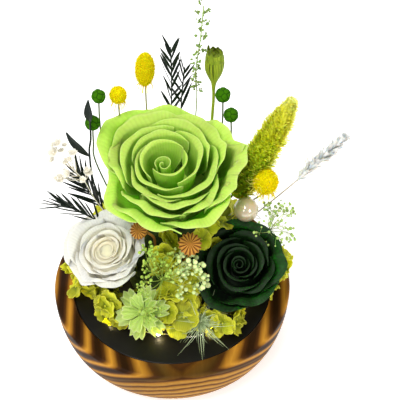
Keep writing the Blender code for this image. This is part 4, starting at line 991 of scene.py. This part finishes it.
def make_seed_pod():
    stalk = stem((5, 20, 48), [(8, 30, 62), (19, 49, 90), (21.2, 51, 110), (21.4, 51, 123)], 0.8 * MM, 10)
    look = Finish("pod_skin", roughness=0.6, Subsurface_Weight=0.1, Subsurface_Scale=0.001)
    greens = ((0.0, (0.29, 0.38, 0.018)), (0.45, (0.14, 0.20, 0.007)), (1.0, (0.022, 0.032, 0.002)))
    # From the skin's green into the painted shade of the creases and the open top
    body = look.ramp(look.edge, greens)
    look.colour(look.scaled(body, look.noise(320, 4, stretch=(1, 1, 0.12)), 0.65, 1.35))
    look.bump((look.noise(500, 4, stretch=(1, 1, 0.15)), 0.0002))
    shapes = [pod_barrel(), stalk] + pod_tips()
    piece("seed_pod_skin", shapes, look.material, "pod_green", "seed_pod", sharp=60)


def wire_loop(root, way, reach, turn):
    """A thin wire that goes out from a point, round and back to it."""
    angle = np.linspace(-0.85 * math.pi, 0.85 * math.pi, 17)
    ring = np.stack([np.sin(angle) * 0.55, 0.15 * np.sin(2 * angle), 0.9 + np.cos(angle)], axis=-1)
    flat = np.vstack([(0, 0, -0.3 * reach), ring * reach * 0.5, (0, 0, -0.3 * reach)])
    matrix = facing(way, root, turn)
    return tube(flat @ matrix[:3, :3].T + matrix[:3, 3], 0.13 * MM, 5)


def make_pearl():
    """A lacquered bead with thin wire loops at its sides."""
    spot, width = (37.7, 9.5, 77.8), 12.6 * MM
    centre = mm(*spot)
    look = Finish(
        "pearl_lacquer", roughness=0.35, Coat_Weight=1.0, Coat_Roughness=0.08, Coat_IOR=2.4,
        Subsurface_Weight=0.3, Subsurface_Scale=0.001)
    creams = ((0.3, (0.52, 0.40, 0.20)), (0.55, (0.66, 0.54, 0.34)), (0.8, (0.60, 0.47, 0.32)))
    look.colour(look.ramp(look.noise(60, 3, distortion=1.0), creams))
    look.bump((look.noise(350, 2), 0.00001))
    bead = ellipsoid(centre, (0.2, -0.2, 1), width, width, 32, 48)
    piece("pearl_bead", [bead], look.material, "pearl_cream", "pearl")
    wire = plain_finish("pearl_wire", (0.55, 0.50, 0.38), 500, 0.1, 0.00001, roughness=0.35, Metallic=1.0)
    shapes = [stem((15, 8, 44), [(23, 9, 53), (31, 11, 68), spot], 0.45 * MM)]
    loops = (((-0.9, -0.1, -0.35), 3.6, 0.4), ((0.8, -0.2, -0.55), 3.2, 1.5), ((0.9, 0.2, 0.1), 2.6, 0.2))
    for way, reach, turn in loops:
        shapes.append(wire_loop(centre + unit(np.array(way)) * 6.0 * MM, way, reach * MM, turn))
    piece("pearl_wire_loops", shapes, wire, "pearl_cream", "pearl")


def poppy_cap(r, rays):
    """The cap: a disc that dips between its rays, each ray a ridge with a dark line along it."""
    angle = around(rays * 10)
    ray = 0.5 + 0.5 * np.cos(rays * angle)
    v = np.linspace(0.06, 1, 14)[:, None]
    ridge = 0.07 * ray ** 2 * np.sin(math.pi * (0.1 + 0.8 * v))
    lift = 0.26 * (1 - v) ** 1.3 + ridge + 0.10 * v ** 3 * (ray - 0.3)
    top = polar_grid(v * r * (0.93 + 0.07 * v * (2 * ray - 1)), angle, lift * r)
    low = top - np.array((0, 0, 0.15 * r))
    shape = shell(np.concatenate([low, top[::-1]]), (0, 0, 0.1 * r), (0, 0, 0.27 * r))
    dark = np.clip((ray - 0.60) / 0.2, 0, 1) * np.clip(4 * v, 0, 1) * np.clip(9 * (1.04 - v), 0, 1)
    shape.paint[:, 1] = 0.9
    shape.paint[:-2, 3] = np.concatenate([0 * dark, dark[::-1]]).ravel()
    return shape


def poppy_vase(middle, axis, r):
    """The round ribbed vase under the cap."""
    line = np.linspace(-1.75, 0.1, 22)
    heights = (-1.75, -1.5, -1.15, -0.7, -0.35, -0.1, 0.1)
    reach = np.interp(line, heights, (0.22, 0.42, 0.68, 0.76, 0.70, 0.52, 0.46))
    ribs = 1 + 0.035 * np.cos(10 * around(80))
    vase = tube(middle + axis * (line * r)[:, None], reach * r, 80, 0.5, ribs)
    vase.paint[:, 3] = 0.25 * (1 - np.abs(np.cos(5 * vase.paint[:, 0] * FULL_TURN)))
    return vase


def make_poppy_heads():
    """Dried poppy heads: a ribbed vase under a scalloped cap with brown rays."""
    look = Finish("poppy_dry", roughness=0.65)
    tans = ((0.0, (0.20, 0.08, 0.015)), (0.55, (0.40, 0.18, 0.03)), (1.0, (0.56, 0.27, 0.045)))
    body = look.mix(look.edge, look.ramp(look.along, tans), (0.11, 0.026, 0.004))
    look.colour(look.scaled(body, look.noise(500, 4), 0.78, 1.2))
    look.bump((look.noise(1300, 3), 0.00006))
    heads = (
        ("left", (-15.6, -7, 80.5), (-0.34, -0.62, 0.70), 9.0, (-6, -1, 46), [(-8, -2, 62), (-8.5, -3, 71)]),
        ("middle", (9.8, -18, 83.3), (0.05, -0.5, 0.87), 11.6, (3, -5, 46), [(6, -12, 62), (9, -14, 70)]),
    )
    for side, centre, axis, width, inner, via in heads:
        middle, axis, r = mm(*centre), unit(np.array(axis, float)), width * MM / 2
        neck = (middle - axis * 1.65 * r) / MM
        shapes = [poppy_vase(middle, axis, r), poppy_cap(r, 15).moved(facing(axis, middle))]
        shapes.append(stem(inner, via + [neck], 0.7 * MM))
        piece(f"poppy_head_{side}_dry", shapes, look.material, "poppy_brown", "poppy_head_" + side, sharp=60)


# Grasses, leaves and sprays

def hairs_along(path, radii, length, count, lean, thickness, seed, bend=-0.2):
    """Fine bent hairs out of a round body, leaning towards its tip."""
    rng = np.random.default_rng(seed)
    tangents = unit(np.gradient(path, axis=0))
    share = 0.02 + 0.98 * rng.random(count) ** 0.9
    place = share * (len(path) - 1)
    i = np.minimum(place.astype(int), len(path) - 2)
    spot = path[i] + (path[i + 1] - path[i]) * (place - i)[:, None]
    along = tangents[i]
    out = unit(np.cross(along, rng.normal(0, 1, (count, 3))))
    radius = np.interp(place, np.arange(len(path)), radii)[:, None]
    way = unit(out + along * lean[0] + along * rng.uniform(0, lean[1], count)[:, None])
    sizes = np.full((count, 3), thickness)
    taper = np.interp(share, (0, 0.15, 0.75, 1), (0.7, 1, 0.9, 0.4))
    sizes[:, 2] = length * rng.uniform(0.6, 1.1, count) * taper
    frames = aimed(spot + out * radius * 0.85, way, sizes, np.zeros(count), along)
    hair = bent_hair(bend * length / thickness)
    copies = scattered(hair, frames, rng.random(count))
    copies.paint[:, 0] = np.repeat(share, len(hair.points))
    return copies


def make_foxtail():
    """The long soft grass head that leans to the right, yellow at its tip and olive at its foot."""
    line = [(33.6, 20, 78), (40.5, 22.3, 93), (47, 24.8, 107), (52.8, 27.5, 119), (58.6, 30.6, 131)]
    path = smooth_path(np.array(line) * MM, 14)
    share = np.linspace(0, 1, len(path))
    radii = 5.0 * MM * np.sin(math.pi * (0.20 + 0.76 * share)) ** 0.5 * (1.0 - 0.46 * share)
    look = Finish(
        "foxtail_hair", roughness=0.9, Subsurface_Weight=0.7, Subsurface_Scale=0.003, Specular_IOR_Level=0.03)
    olive, moss, lime = (0.24, 0.31, 0.006), (0.42, 0.50, 0.010), (0.70, 0.72, 0.014)
    yellow, pale = (0.94, 0.88, 0.04), (0.95, 0.92, 0.16)
    body = look.ramp(look.across, ((0.0, olive), (0.25, moss), (0.55, lime), (0.85, yellow), (1.0, pale)))
    body = look.scaled(body, look.along, 1.15, 1.6)
    look.colour(look.scaled(body, look.tone, 0.85, 1.15))
    core = tube(path, radii, 24, 0.5)
    core.paint[:-2, 0] = np.repeat(share, 24)
    core.paint[:, 1] = 0.4
    hairs = hairs_along(path, radii, 4.9 * MM, 5600, (0.3, 1.3), 0.06 * MM, 41)
    long = hairs_along(path, radii, 6.2 * MM, 2200, (0.4, 1.4), 0.045 * MM, 42)
    piece("foxtail_hairs", [core, hairs, long], look.material, "tail_olive", "foxtail_grass")
    green = growth_finish("foxtail_stalk", ((0.16, 0.22, 0.03), (0.32, 0.34, 0.04)), roughness=0.6)
    stalk = stem((14, 15, 46), [(21, 19, 58), (33, 21, 80), line[2]], 0.55 * MM)
    piece("foxtail_stem", [stalk], green, "tail_olive", "foxtail_grass")


def make_plume():
    """The bleached feathery grass that reaches out to the right."""
    line = [(63, 18, 90), (70, 21, 96.5), (78.5, 24.8, 103.3), (86.5, 28.5, 109.8)]
    path = smooth_path(np.array(line) * MM, 12)
    look = growth_finish(
        "plume_fibre", ((0.80, 0.77, 0.70), (0.95, 0.94, 0.91)), spread=0.05, roughness=0.9,
        Specular_IOR_Level=0.03, Subsurface_Weight=0.7, Subsurface_Scale=0.003)
    radii = np.linspace(0.35, 0.12, len(path)) * MM
    fine = hairs_along(path, radii, 6.6 * MM, 210, (0.6, 2.2), 0.035 * MM, 43, bend=-0.25)
    coarse = hairs_along(path, radii, 5.2 * MM, 16, (0.8, 1.6), 0.10 * MM, 44)
    piece("white_plume_fibres", [fine, coarse], look, "bleached", "white_plume")
    tan = growth_finish("plume_stalk", ((0.30, 0.24, 0.14), (0.52, 0.46, 0.36)), roughness=0.7)
    stalk = stem((18, 10, 42), [(26, 12, 52), (46, 15, 72)] + line, 0.30 * MM)
    piece("white_plume_stalk", [stalk], tan, "bleached", "white_plume")


def dark_leaf_finish(name):
    colours = ((0.010, 0.018, 0.010), (0.003, 0.008, 0.006), (0.008, 0.016, 0.011))
    return growth_finish(name, colours, spread=0.35, roughness=0.42)


def long_blade(root, tip, width, bow):
    """A long leaf from root to tip, widest past the middle, bowed and folded along its rib."""
    across = unit(np.cross(tip - root, bow))
    s, v = (span[..., None] for span in spans(8, 24))
    spread = width / 2 * (0.12 + 0.88 * np.sin(math.pi * np.minimum(v ** 0.8, 0.985)))
    fold = unit(bow) * np.abs(s) * spread * 0.3
    wave = unit(bow) * np.sin(v * 9 + s) * 0.12 * MM
    middle = root + (tip - root) * v + bow * 4 * v * (1 - v)
    return sheet(middle + across * s * spread + fold + wave, 0.35 * MM, 0.5)


def make_long_leaves():
    first, second = (-39.8, 22, 104), (-38.4, 26.5, 123.0)
    leaves = [
        stem((-15, 7, 46), [(-25, 11, 60), (-37.5, 17, 84), first, (-38.8, 25, 112), second]),
        long_blade(mm(*first) - mm(0, 0, 1), mm(-49.5, 21, 120), 4.4 * MM, mm(-0.8, -1.5, 1)),
        long_blade(mm(*second) - mm(0, 0, 1), mm(-38.4, 28, 134.5), 4.2 * MM, mm(-0.3, -1.0, 0.3)),
    ]
    piece("long_dark_leaves_fine", leaves, dark_leaf_finish("long_leaf"), "leaf_dark", "long_dark_leaves")


def needle_spray(name, inner, line, first, count, length, wide, seed, finish):
    """A leafy shoot: narrow leaves in pairs along the stem, fanned out flat, shorter towards the tip."""
    rng = np.random.default_rng(seed)
    path = smooth_path(np.array(line) * MM, 12)
    share = first + (0.99 - first) * (np.arange(count) + 0.5) / count
    places, ways, helpers = [], [], []
    for n in range(count):
        spot, along = spot_along(path, share[n])
        side = unit(np.cross(along, (0, 1, 0))) * (1 if n % 2 else -1)
        out = unit(side + np.array((0, rng.uniform(-0.9, 0.9), 0)))
        places.append(spot)
        ways.append(along + out * rng.uniform(0.38, 0.72) * (1.15 - 0.55 * share[n]))
        helpers.append(np.cross(along, out) + rng.normal(0, 0.4, 3))
    sizes = np.empty((count, 3))
    sizes[:, :2] = wide / 2 * MM * rng.uniform(0.75, 1.2, (count, 1))
    sizes[:, 2] = length * MM * (1.3 - 0.45 * share) * rng.uniform(0.75, 1.15, count)
    frames = aimed(places, ways, sizes, np.zeros(count), np.array(helpers))
    leaves = scattered(blade(), frames, rng.random(count))
    piece(name + "_leaves", [leaves, stem(inner, line, 0.36 * MM)], finish, "leaf_dark", name)


def make_needle_sprays():
    finish = dark_leaf_finish("needle_leaf")
    back = [(-6, 29, 62), (-2, 50, 88), (0, 53, 110), (0.5, 53, 130), (0.3, 52, 147)]
    back_right = [(-1, 31, 62), (4, 52, 88), (5, 56, 108), (6, 56, 121), (7, 55, 132)]
    left = [(-24, 5, 50), (-35, 9, 66), (-46, 10, 76), (-55, 9, 82)]
    left_up = [(-25, 12, 54), (-36, 17, 72), (-43.5, 20, 84), (-47, 20, 93)]
    needle_spray("needle_spray_back", (-5, 18, 46), back, 0.42, 18, 13.0, 1.4, 3, finish)
    needle_spray("needle_spray_back_right", (-1, 20, 46), back_right, 0.42, 10, 12.0, 1.3, 4, finish)
    needle_spray("needle_spray_left", (-14, 2, 40), left, 0.36, 22, 14.5, 1.2, 5, finish)
    needle_spray("needle_spray_left_up", (-16, 6, 42), left_up, 0.30, 26, 14.5, 1.35, 6, finish)


def mist_finish(name, left, right):
    """Tiny buds: one colour at the left of the spray and another at its right."""
    look = Finish(name, roughness=0.7, Subsurface_Weight=0.2, Subsurface_Scale=0.0008)
    body = look.scaled(look.mix(look.across, left, right), look.along, 0.7, 1.1)
    look.colour(look.scaled(body, look.tone, 0.82, 1.12))
    look.bump((look.noise(2500, 2), 0.00008))
    return look.material


# Where the front mist turns paler and larger, in mm to the right of the middle
MIST_SPLIT = 3


def bud_spray(name, node, inner, onward, reach, twigs, buds, width, seed, lean, finish):
    """A cloud of tiny buds on fine stalks that fork from a few twigs of one stem."""
    rng = np.random.default_rng(seed)
    hub, lean = mm(*onward[-1]), unit(np.array(lean, float))
    shapes = [stem(inner, onward)]
    places, ways, sizes = [], [], []
    for _ in range(twigs):
        way = unit(unit(rng.normal(0, 1, 3)) * 0.85 + lean * 0.75)
        fork = hub + way * reach * MM * rng.uniform(0.35, 0.75)
        bow = rng.normal(0, 0.6, 3) * MM
        shapes.append(strand([hub, (hub + fork) / 2 + bow, fork], 0.16 * MM, 5, 3))
        for _ in range(buds):
            turn = unit(way + unit(rng.normal(0, 1, 3)) * 0.95)
            end = fork + turn * rng.uniform(2.0, 6.0) * MM
            bow = rng.normal(0, 0.25, 3) * MM
            shapes.append(strand([fork, (fork + end) / 2 + bow, end], 0.075 * MM, 4, 2))
            places.append(end - turn * 0.1 * MM)
            ways.append(turn)
            sizes.append(rng.uniform(0.5, 1.0) * (1.2 if end[0] > MIST_SPLIT * MM else 1.0) * width / 2 * MM)
    shape = joined(shapes + [strewn(small_ball(6, 8), places, ways, sizes, rng)])
    shape.paint[:, 0] = np.clip((shape.points[:, 0] / MM - MIST_SPLIT) / 6 + 0.5, 0, 1)
    piece(name + "_buds", [shape], finish, "mist_lime", node)


def make_bud_sprays():
    finish = mist_finish("mist_bud", (0.36, 0.52, 0.08), (0.62, 0.75, 0.32))
    pale = (0.40, 0.56, 0.16)
    bud_spray(
        "mist_spray_front", "mist_spray_front", (-4.5, -9, 40), [(-6, -17, 48), (-4, -21.5, 60)],
        25, 20, 10, 1.9, 11, (0.1, -0.35, 0.85), finish)
    bud_spray(
        "mist_spray_front_right", "mist_spray_front", (-4.5, -9, 40),
        [(-5, -16, 46), (1, -19, 58), (6.5, -20, 67)], 12, 4, 7, 2.4, 14, (0.35, -0.05, 0.9), finish)
    bud_spray(
        "mist_spray_right", "mist_spray_right", (16, 6, 44), [(25, 8, 54), (42, 11, 63), (50, 6, 66)],
        17, 18, 6, 1.4, 12, (0.05, -0.1, 0.3), mist_finish("mist_bud_right", pale, pale))


def make_mist_spike():
    """The tall thin plume of tiny florets behind the rose, at the right of the needle spray."""
    rng = np.random.default_rng(21)
    line = [(3, 30, 62), (11, 52, 90), (13, 53, 115), (12.5, 52, 132), (14.8, 52, 152), (16.3, 52, 171)]
    path = smooth_path(np.array(line) * MM, 10)
    shapes = [stem((2, 20, 46), line, 0.30 * MM)]
    places, ways = [], []
    for n, share in enumerate(np.linspace(0.44, 0.995, 30)):
        spot, along = spot_along(path, share)
        out = facing(along, turn=n * GOLDEN_TURN)[:3, 0]
        end = spot + (out + along * 0.5) * rng.uniform(0.8, 2.6) * MM
        shapes.append(tube([spot, end], 0.12 * MM, 5, 0.5))
        for _ in range(6):
            places.append(end + rng.normal(0, 0.55, 3) * MM)
            ways.append(rng.normal(0, 1, 3) + out)
    shapes.append(strewn(small_ball(4, 6), places, ways, rng.uniform(0.35, 0.68, len(places)) * MM, rng))
    finish = mist_finish("spike_floret", (0.22, 0.34, 0.08), (0.34, 0.46, 0.14))
    piece("mist_spike_florets", shapes, finish, "mist_lime", "mist_spike")


def small_flower(radius, petals, cup, rng):
    """A small flower facing +Z: pointed cupped petals round a bead."""
    shapes = [ellipsoid(np.array((0, 0, 0.12 * radius)), (0, 0, 1), 0.36 * radius, 0.4 * radius, 5, 8)]
    s, v = spans(4, 6)
    for n in range(petals):
        reach = radius * rng.uniform(0.85, 1.1)
        wide = reach * (0.10 + 0.42 * np.sin(math.pi * np.minimum(0.1 + 0.84 * v, 1)) ** 0.8)
        lift = reach * (cup * v ** 1.3 + 0.25 * s ** 2 * (1 - v) * v)
        turn = FULL_TURN * n / petals + rng.uniform(-0.15, 0.15)
        petal = sheet(gridded(reach * v, s * wide, lift), 0.14 * MM, rng.random())
        shapes.append(petal.moved(spun(turn)))
    return joined(shapes)


def make_white_spray():
    """Bleached small flowers and buds at the left, on forked stalks."""
    rng = random.Random(71)
    line = [(-24, 11.5, 55), (-37, 13.5, 78), (-42.5, 13, 95), (-48, 13, 104)]
    path = smooth_path(np.array(line) * MM, 8)
    shapes = [stem((-14, 7.5, 43), line, 0.26 * MM)]
    spots = [
        (-55.5, 14, 113, 6.0, 1.0), (-53.1, 16, 117.4, 4.8, 0.93), (-46.6, 16, 111.2, 4.8, 0.86),
        (-49.5, 10, 103.4, 5.0, 0.8), (-40.0, 11, 103.4, 4.8, 0.68), (-52.3, 9, 100.9, 4.8, 0.7),
    ]
    for n in range(11):
        x, y, z, _, share = spots[n % 6]
        jump = [rng.uniform(-4, 4), rng.uniform(-2, 2), rng.uniform(-5, 2)]
        spots.append((x + jump[0], y + jump[1], z + jump[2], rng.uniform(2.6, 4.2), share - 0.03))
    for x, y, z, width, share in spots:
        end, root = mm(x, y, z), spot_along(path, share)[0]
        bow = mm(*[rng.uniform(-1, 1) for _ in range(3)])
        shapes.append(strand([root, (root + end) / 2 + bow, end], 0.16 * MM, 6, 4))
        aim = unit(end - root) + np.array((rng.uniform(-0.3, 0.3), -0.5, 0.4))
        flower = small_flower(width / 2 * MM, 5, rng.uniform(0.2, 0.9), rng)
        shapes.append(flower.moved(facing(aim, end, rng.uniform(0, 6))))
    colours = ((0.46, 0.39, 0.24), (0.66, 0.61, 0.48), (0.80, 0.78, 0.70))
    look = growth_finish("bleached_petal", colours, middle=0.3, roughness=0.75)
    piece("white_spray_flowers", shapes, look, "bleached", "white_spray")


def pleated_tier(reach, lobes, lift, pleat, turn, rng):
    """Fan-shaped lobes with toothed ends, folded like a fan, in a ring round the centre."""
    shapes = []
    s, v = spans(36, 12, low=0.06)
    rim = np.interp(np.abs(s), (0, 0.3, 0.55, 0.78, 1.0), (1.0, 0.84, 0.95, 0.76, 0.55))
    for n in range(lobes):
        size = reach * rng.uniform(0.94, 1.05)
        angle = turn + FULL_TURN * n / lobes + s * math.pi / lobes * 0.90 * (0.9 + 0.1 * v)
        r = size * v * (1 + (rim - 1) * v ** 2)
        z = lift(v) + pleat * -np.cos(3 * math.pi * s) * v ** 1.2 + rng.uniform(-0.1, 0.1) * size * v ** 2
        shapes.append(sheet(polar_grid(r, angle, z), 0.3 * MM, rng.random()))
    return shapes


def make_star_flower():
    """The pale green flower with pleated, toothed petals at the front."""
    rng = random.Random(81)
    spot = (-13.5, -31, 46)
    shapes = pleated_tier(14.8 * MM, 6, lambda v: 2.0 * MM * v ** 2, 0.75 * MM, math.pi / 6, rng)
    shapes += pleated_tier(10.4 * MM, 5, lambda v: 1.2 * MM + 5.2 * MM * v ** 1.5, 0.6 * MM, 0.9, rng)
    shapes.append(ellipsoid(np.array((0, 0, 1.2 * MM)), (0, 0, 1), 2.6 * MM, 3.0 * MM))
    matrix = facing((-0.25, -0.62, 0.74), mm(*spot))
    shapes = [shape.moved(matrix) for shape in shapes]
    shapes.append(stem((-7, -8, 40), [(-11, -18, 44), spot], 0.7 * MM))
    look = petal_finish(
        "star_petal", (0.28, 0.46, 0.06), (0.44, 0.66, 0.14), (0.52, 0.72, 0.19), (0.68, 0.82, 0.32),
        radius=(0.8, 1.0, 0.3))
    piece("star_flower_petals", shapes, look, "star_mint", "star_flower", sharp=70)


def make_air_plant():
    """The grey-green tuft of fine curved leaves at the front."""
    rng = random.Random(31)
    spot = (15, -35, 43)
    centre, axis = mm(*spot), unit(np.array((0.1, -0.7, 0.7)))
    turn = facing(axis)[:3, :3]
    shapes = [ellipsoid(centre, axis, 4 * MM, 3.6 * MM)]
    v = np.linspace(0, 1, 11)[:, None]
    for n, way in enumerate(ball_points(84, -0.2) @ turn.T):
        length = 14 * MM * rng.uniform(0.55, 1.12)
        curl = turn @ np.array((math.cos(n), math.sin(n), 0)) * 0.42 + np.array((0, 0, -0.1))
        path = centre + way * MM + length * (way * v + curl * v ** 2)
        shapes.append(tube(path, 0.21 * MM * (1 - 0.85 * v[:, 0] ** 1.4), 6, rng.random()))
    shapes.append(stem((6, -9, 38), [(9, -19, 41), spot], 0.6 * MM))
    colours = ((0.42, 0.55, 0.27), (0.54, 0.64, 0.38), (0.36, 0.44, 0.22))
    look = growth_finish("air_plant_leaf", colours, roughness=0.8)
    piece("air_plant_leaves", shapes, look, "air_plant", "air_plant")


# Hydrangea: a floret that would cut a solid is tried again at other places

FLORET_TRIES = 14


def floret(width, rng):
    """Four broad rounded petals round a bead, facing +Z, each a little uneven."""
    shapes = [ellipsoid(np.array((0, 0, 0.02 * width)), (0, 0, 1), 0.09 * width, 0.1 * width, 5, 8)]
    s, v = spans(10, 8)
    for quarter in range(4):
        reach = width / 2 * rng.uniform(0.85, 1.12)
        tilt = rng.uniform(-0.14, 0.26)
        phase = rng.uniform(0, 6.28)
        wide = reach * (0.05 + 0.62 * np.sin(math.pi * np.minimum(0.04 + 0.78 * v, 1)) ** 0.8)
        notch = 0.17 * s ** 2 * v ** 2 + 0.10 * np.exp(-(s / 0.18) ** 2) * v ** 4
        r = reach * v * (1 - notch + 0.035 * np.sin(6 * s + phase) * v ** 3)
        fold = 0.10 * np.abs(s + 0.2 * np.sin(phase)) * v - 0.08 * s ** 2 * v
        ripple = 0.10 * np.sin(5 * s + phase) * v ** 2 + 0.04 * np.sin(9 * v + phase) * v
        z = reach * (tilt * v ** 1.4 + fold + ripple + 0.02 * quarter)
        petal = sheet(gridded(r, s * wide, z), 0.25 * MM, rng.random(), rim=0.08)
        shapes.append(petal.moved(spun(math.pi / 2 * quarter + rng.uniform(-0.16, 0.16))))
    return joined(shapes)


def solid_trees(names):
    """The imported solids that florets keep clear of."""
    trees = []
    for name in names:
        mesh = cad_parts[name].data
        points = [vertex.co.copy() for vertex in mesh.vertices]
        trees.append(BVHTree.FromPolygons(points, [tuple(polygon.vertices) for polygon in mesh.polygons]))
    return trees


def is_clear(shape, trees):
    faces = [tuple(face) for group in shape.faces for face in group.tolist()]
    tree = BVHTree.FromPolygons(shape.points.tolist(), faces)
    return not any(tree.overlap(other) for other in trees)


def hydrangea(name, inner, hub, out, reach, count, width, seed, finish, trees):
    """A branch of hydrangea: florets all over the outer half of a ball round the end of one stem."""
    rng = random.Random(seed)
    centre = mm(*hub)
    turn = facing(out)[:3, :3]
    shapes = [stem(inner, [hub], 0.7 * MM), ellipsoid(centre, out, 3 * MM, 3 * MM, 6, 8)]
    for n in range(count):
        rise = 1 - 1.25 * (n + 0.5) / count
        flat = math.sqrt(1 - rise * rise)
        for attempt in range(FLORET_TRIES):
            angle = n * GOLDEN_TURN + rng.uniform(-0.9, 0.9) * (attempt > 0)
            way = turn @ np.array((flat * math.cos(angle), flat * math.sin(angle), rise))
            place = centre + way * reach * MM * (rng.uniform(0.84, 1.12) - 0.03 * attempt)
            aim = way + np.array([rng.gauss(0, 0.32) for _ in range(3)])
            size = width * MM * rng.uniform(0.85, 1.1) * (1 - 0.02 * attempt)
            bloom = floret(size, rng).moved(facing(aim, place, rng.uniform(0, 1.57)))
            if is_clear(bloom, trees):
                bend = way * 0.3 * reach * MM + centre
                shapes += [bloom, strand([centre, bend, place], 0.28 * MM, 6, 3)]
                break
    piece(name + "_florets", shapes, finish, "hydrangea_lime", name, sharp=70)


def hydrangea_finish():
    """Yellow-green veined petals, with a painted highlight along their rims."""
    look = Finish(
        "hydrangea_petal", roughness=0.6, Subsurface_Weight=0.6, Subsurface_Scale=0.002,
        Subsurface_Radius=(1, 0.9, 0.2))
    limes = ((0.0, (0.16, 0.22, 0.003)), (0.35, (0.44, 0.49, 0.010)), (1.0, (0.68, 0.66, 0.035)))
    body = look.scaled(look.ramp(look.along, limes), look.tone, 0.62, 1.15)
    body = look.scaled(body, look.noise(130, 4), 0.82, 1.15)
    fan = look.math("ABSOLUTE", look.math("SINE", look.math("MULTIPLY", look.across, 28.0)))
    veins = look.math("POWER", look.math("SUBTRACT", 1.0, fan), 6.0)
    body = look.scaled(body, veins, 1.0, 0.66)
    # Painted highlight: a light yellow laid along each petal's rim
    look.colour(look.mix(look.math("MULTIPLY", look.edge, 0.45), body, (0.80, 0.80, 0.09)))
    look.bump((veins, 0.00006), (look.noise(600, 4), 0.0001))
    return look.material


def make_hydrangeas():
    """Branches all round the foam, and some in the gaps between the roses."""
    finish = hydrangea_finish()
    trees = solid_trees([
        "green_rose", "white_rose", "dark_rose", "poppy_head_left", "poppy_head_middle", "pearl",
        "star_flower", "yellow_head_right", "black_plate", "wooden_base",
    ])
    branches = (
        ("upper_left", (-4, -4, 44), (-6, -8, 63), (-0.1, -0.45, 1), 9, 8, 14),
        ("upper_front", (4, -7, 44), (9, -18, 56), (0.15, -0.6, 0.7), 8, 8, 14),
        ("upper_right", (10, 2, 46), (17, 2, 66), (0.85, 0.75, 0.6), 13, 12, 12),
        ("front", (2, -10, 36), (3, -25, 42), (0.05, -0.8, 0.45), 11.5, 20, 15),
        ("front_left", (-11, -6, 36), (-26, -18, 43), (-0.75, -0.55, 0.2), 12.5, 20, 14.5),
        ("front_right", (12, -8, 36), (25.3, -27, 40), (0.45, -0.85, 0.05), 9, 14, 13),
        ("right", (18, 1, 37), (46, -1, 45), (0.9, -0.35, 0.15), 12.5, 18, 14),
        ("back_right", (14, 15, 38), (27, 27, 46), (0.65, 0.65, 0.4), 11, 10, 16),
        ("back", (1, 22, 38), (-2, 37, 47), (0, 0.85, 0.5), 11, 10, 16),
        ("back_left", (-14, 15, 38), (-28, 25, 48), (-0.7, 0.6, 0.4), 11, 10, 16),
        ("left", (-17, 3, 37), (-38, -1, 42), (-0.8, -0.5, 0.3), 13.5, 20, 13),
    )
    for seed, (side, *branch) in enumerate(branches):
        hydrangea("hydrangea_" + side, *branch, 50 + seed, finish, trees)


# Scene

def make_camera():
    data = bpy.data.cameras.new("camera")
    data.lens = CAMERA_LENS
    data.sensor_width = CAMERA_SENSOR
    data.clip_start = 0.01
    camera = placed(data, mm(*CAMERA_PLACE))
    camera.rotation_euler = (math.radians(CAMERA_TILT), 0, 0)
    bpy.context.scene.camera = camera


def area_light(name, place, size, power, colour=WHITE):
    data = bpy.data.lights.new(name, "AREA")
    data.shape = "DISK"
    data.size = size
    data.energy = power
    data.color = colour
    aim = Vector((0, 0, 0.07)) - Vector(place)
    placed(data, place).rotation_euler = aim.to_track_quat("-Z", "Y").to_euler()


def make_studio():
    scene = bpy.context.scene
    scene.view_settings.view_transform = "Standard"
    world = bpy.data.worlds.new("studio")
    world.use_nodes = True
    background = world.node_tree.nodes["Background"]
    background.inputs["Color"].default_value = (*WHITE, 1)
    background.inputs["Strength"].default_value = 0.46
    scene.world = world
    area_light("key", (-0.30, -0.30, 0.95), 0.45, 6.9, WARM_WHITE)
    area_light("fill", (0.478, -0.526, 0.44), 0.30, 1.5, WARM_WHITE)
    area_light("back", (0.1, 0.6, 0.7), 0.4, 1.6)
    area_light("front_left", (-0.278, -0.58, 0.536), 0.26, 0.8)


def make_floor():
    """A white floor that reaches far past the picture."""
    reach = 8.0
    floor = bpy.data.meshes.new("floor")
    corners = [(-reach, -reach, 0), (reach, -reach, 0), (reach, reach, 0), (-reach, reach, 0)]
    floor.from_pydata(corners, [], [(0, 1, 2, 3)])
    look = Finish("pale_floor", roughness=0.8, Emission_Color=(*WHITE, 1), Emission_Strength=0.5)
    look.colour(look.ramp(look.noise(3, 2), ((0.0, 0.93), (1.0, 0.95))))
    floor.materials.append(look.material)
    placed(floor, (0, 0, -0.2 * MM))


def make_holder():
    make_base()
    make_plate()
    make_battery_parts()
    make_foam()
    make_wire()
    make_lamps()


def make_growth():
    make_roses()
    make_calyxes()
    make_poppy_heads()
    make_pearl()
    make_yellow_heads()
    make_green_balls()
    make_seed_pod()
    make_foxtail()
    make_plume()
    make_long_leaves()
    make_needle_sprays()
    make_bud_sprays()
    make_mist_spike()
    make_white_spray()
    make_star_flower()
    make_air_plant()
    make_hydrangeas()


make_camera()
make_studio()
make_floor()
make_holder()
make_growth()
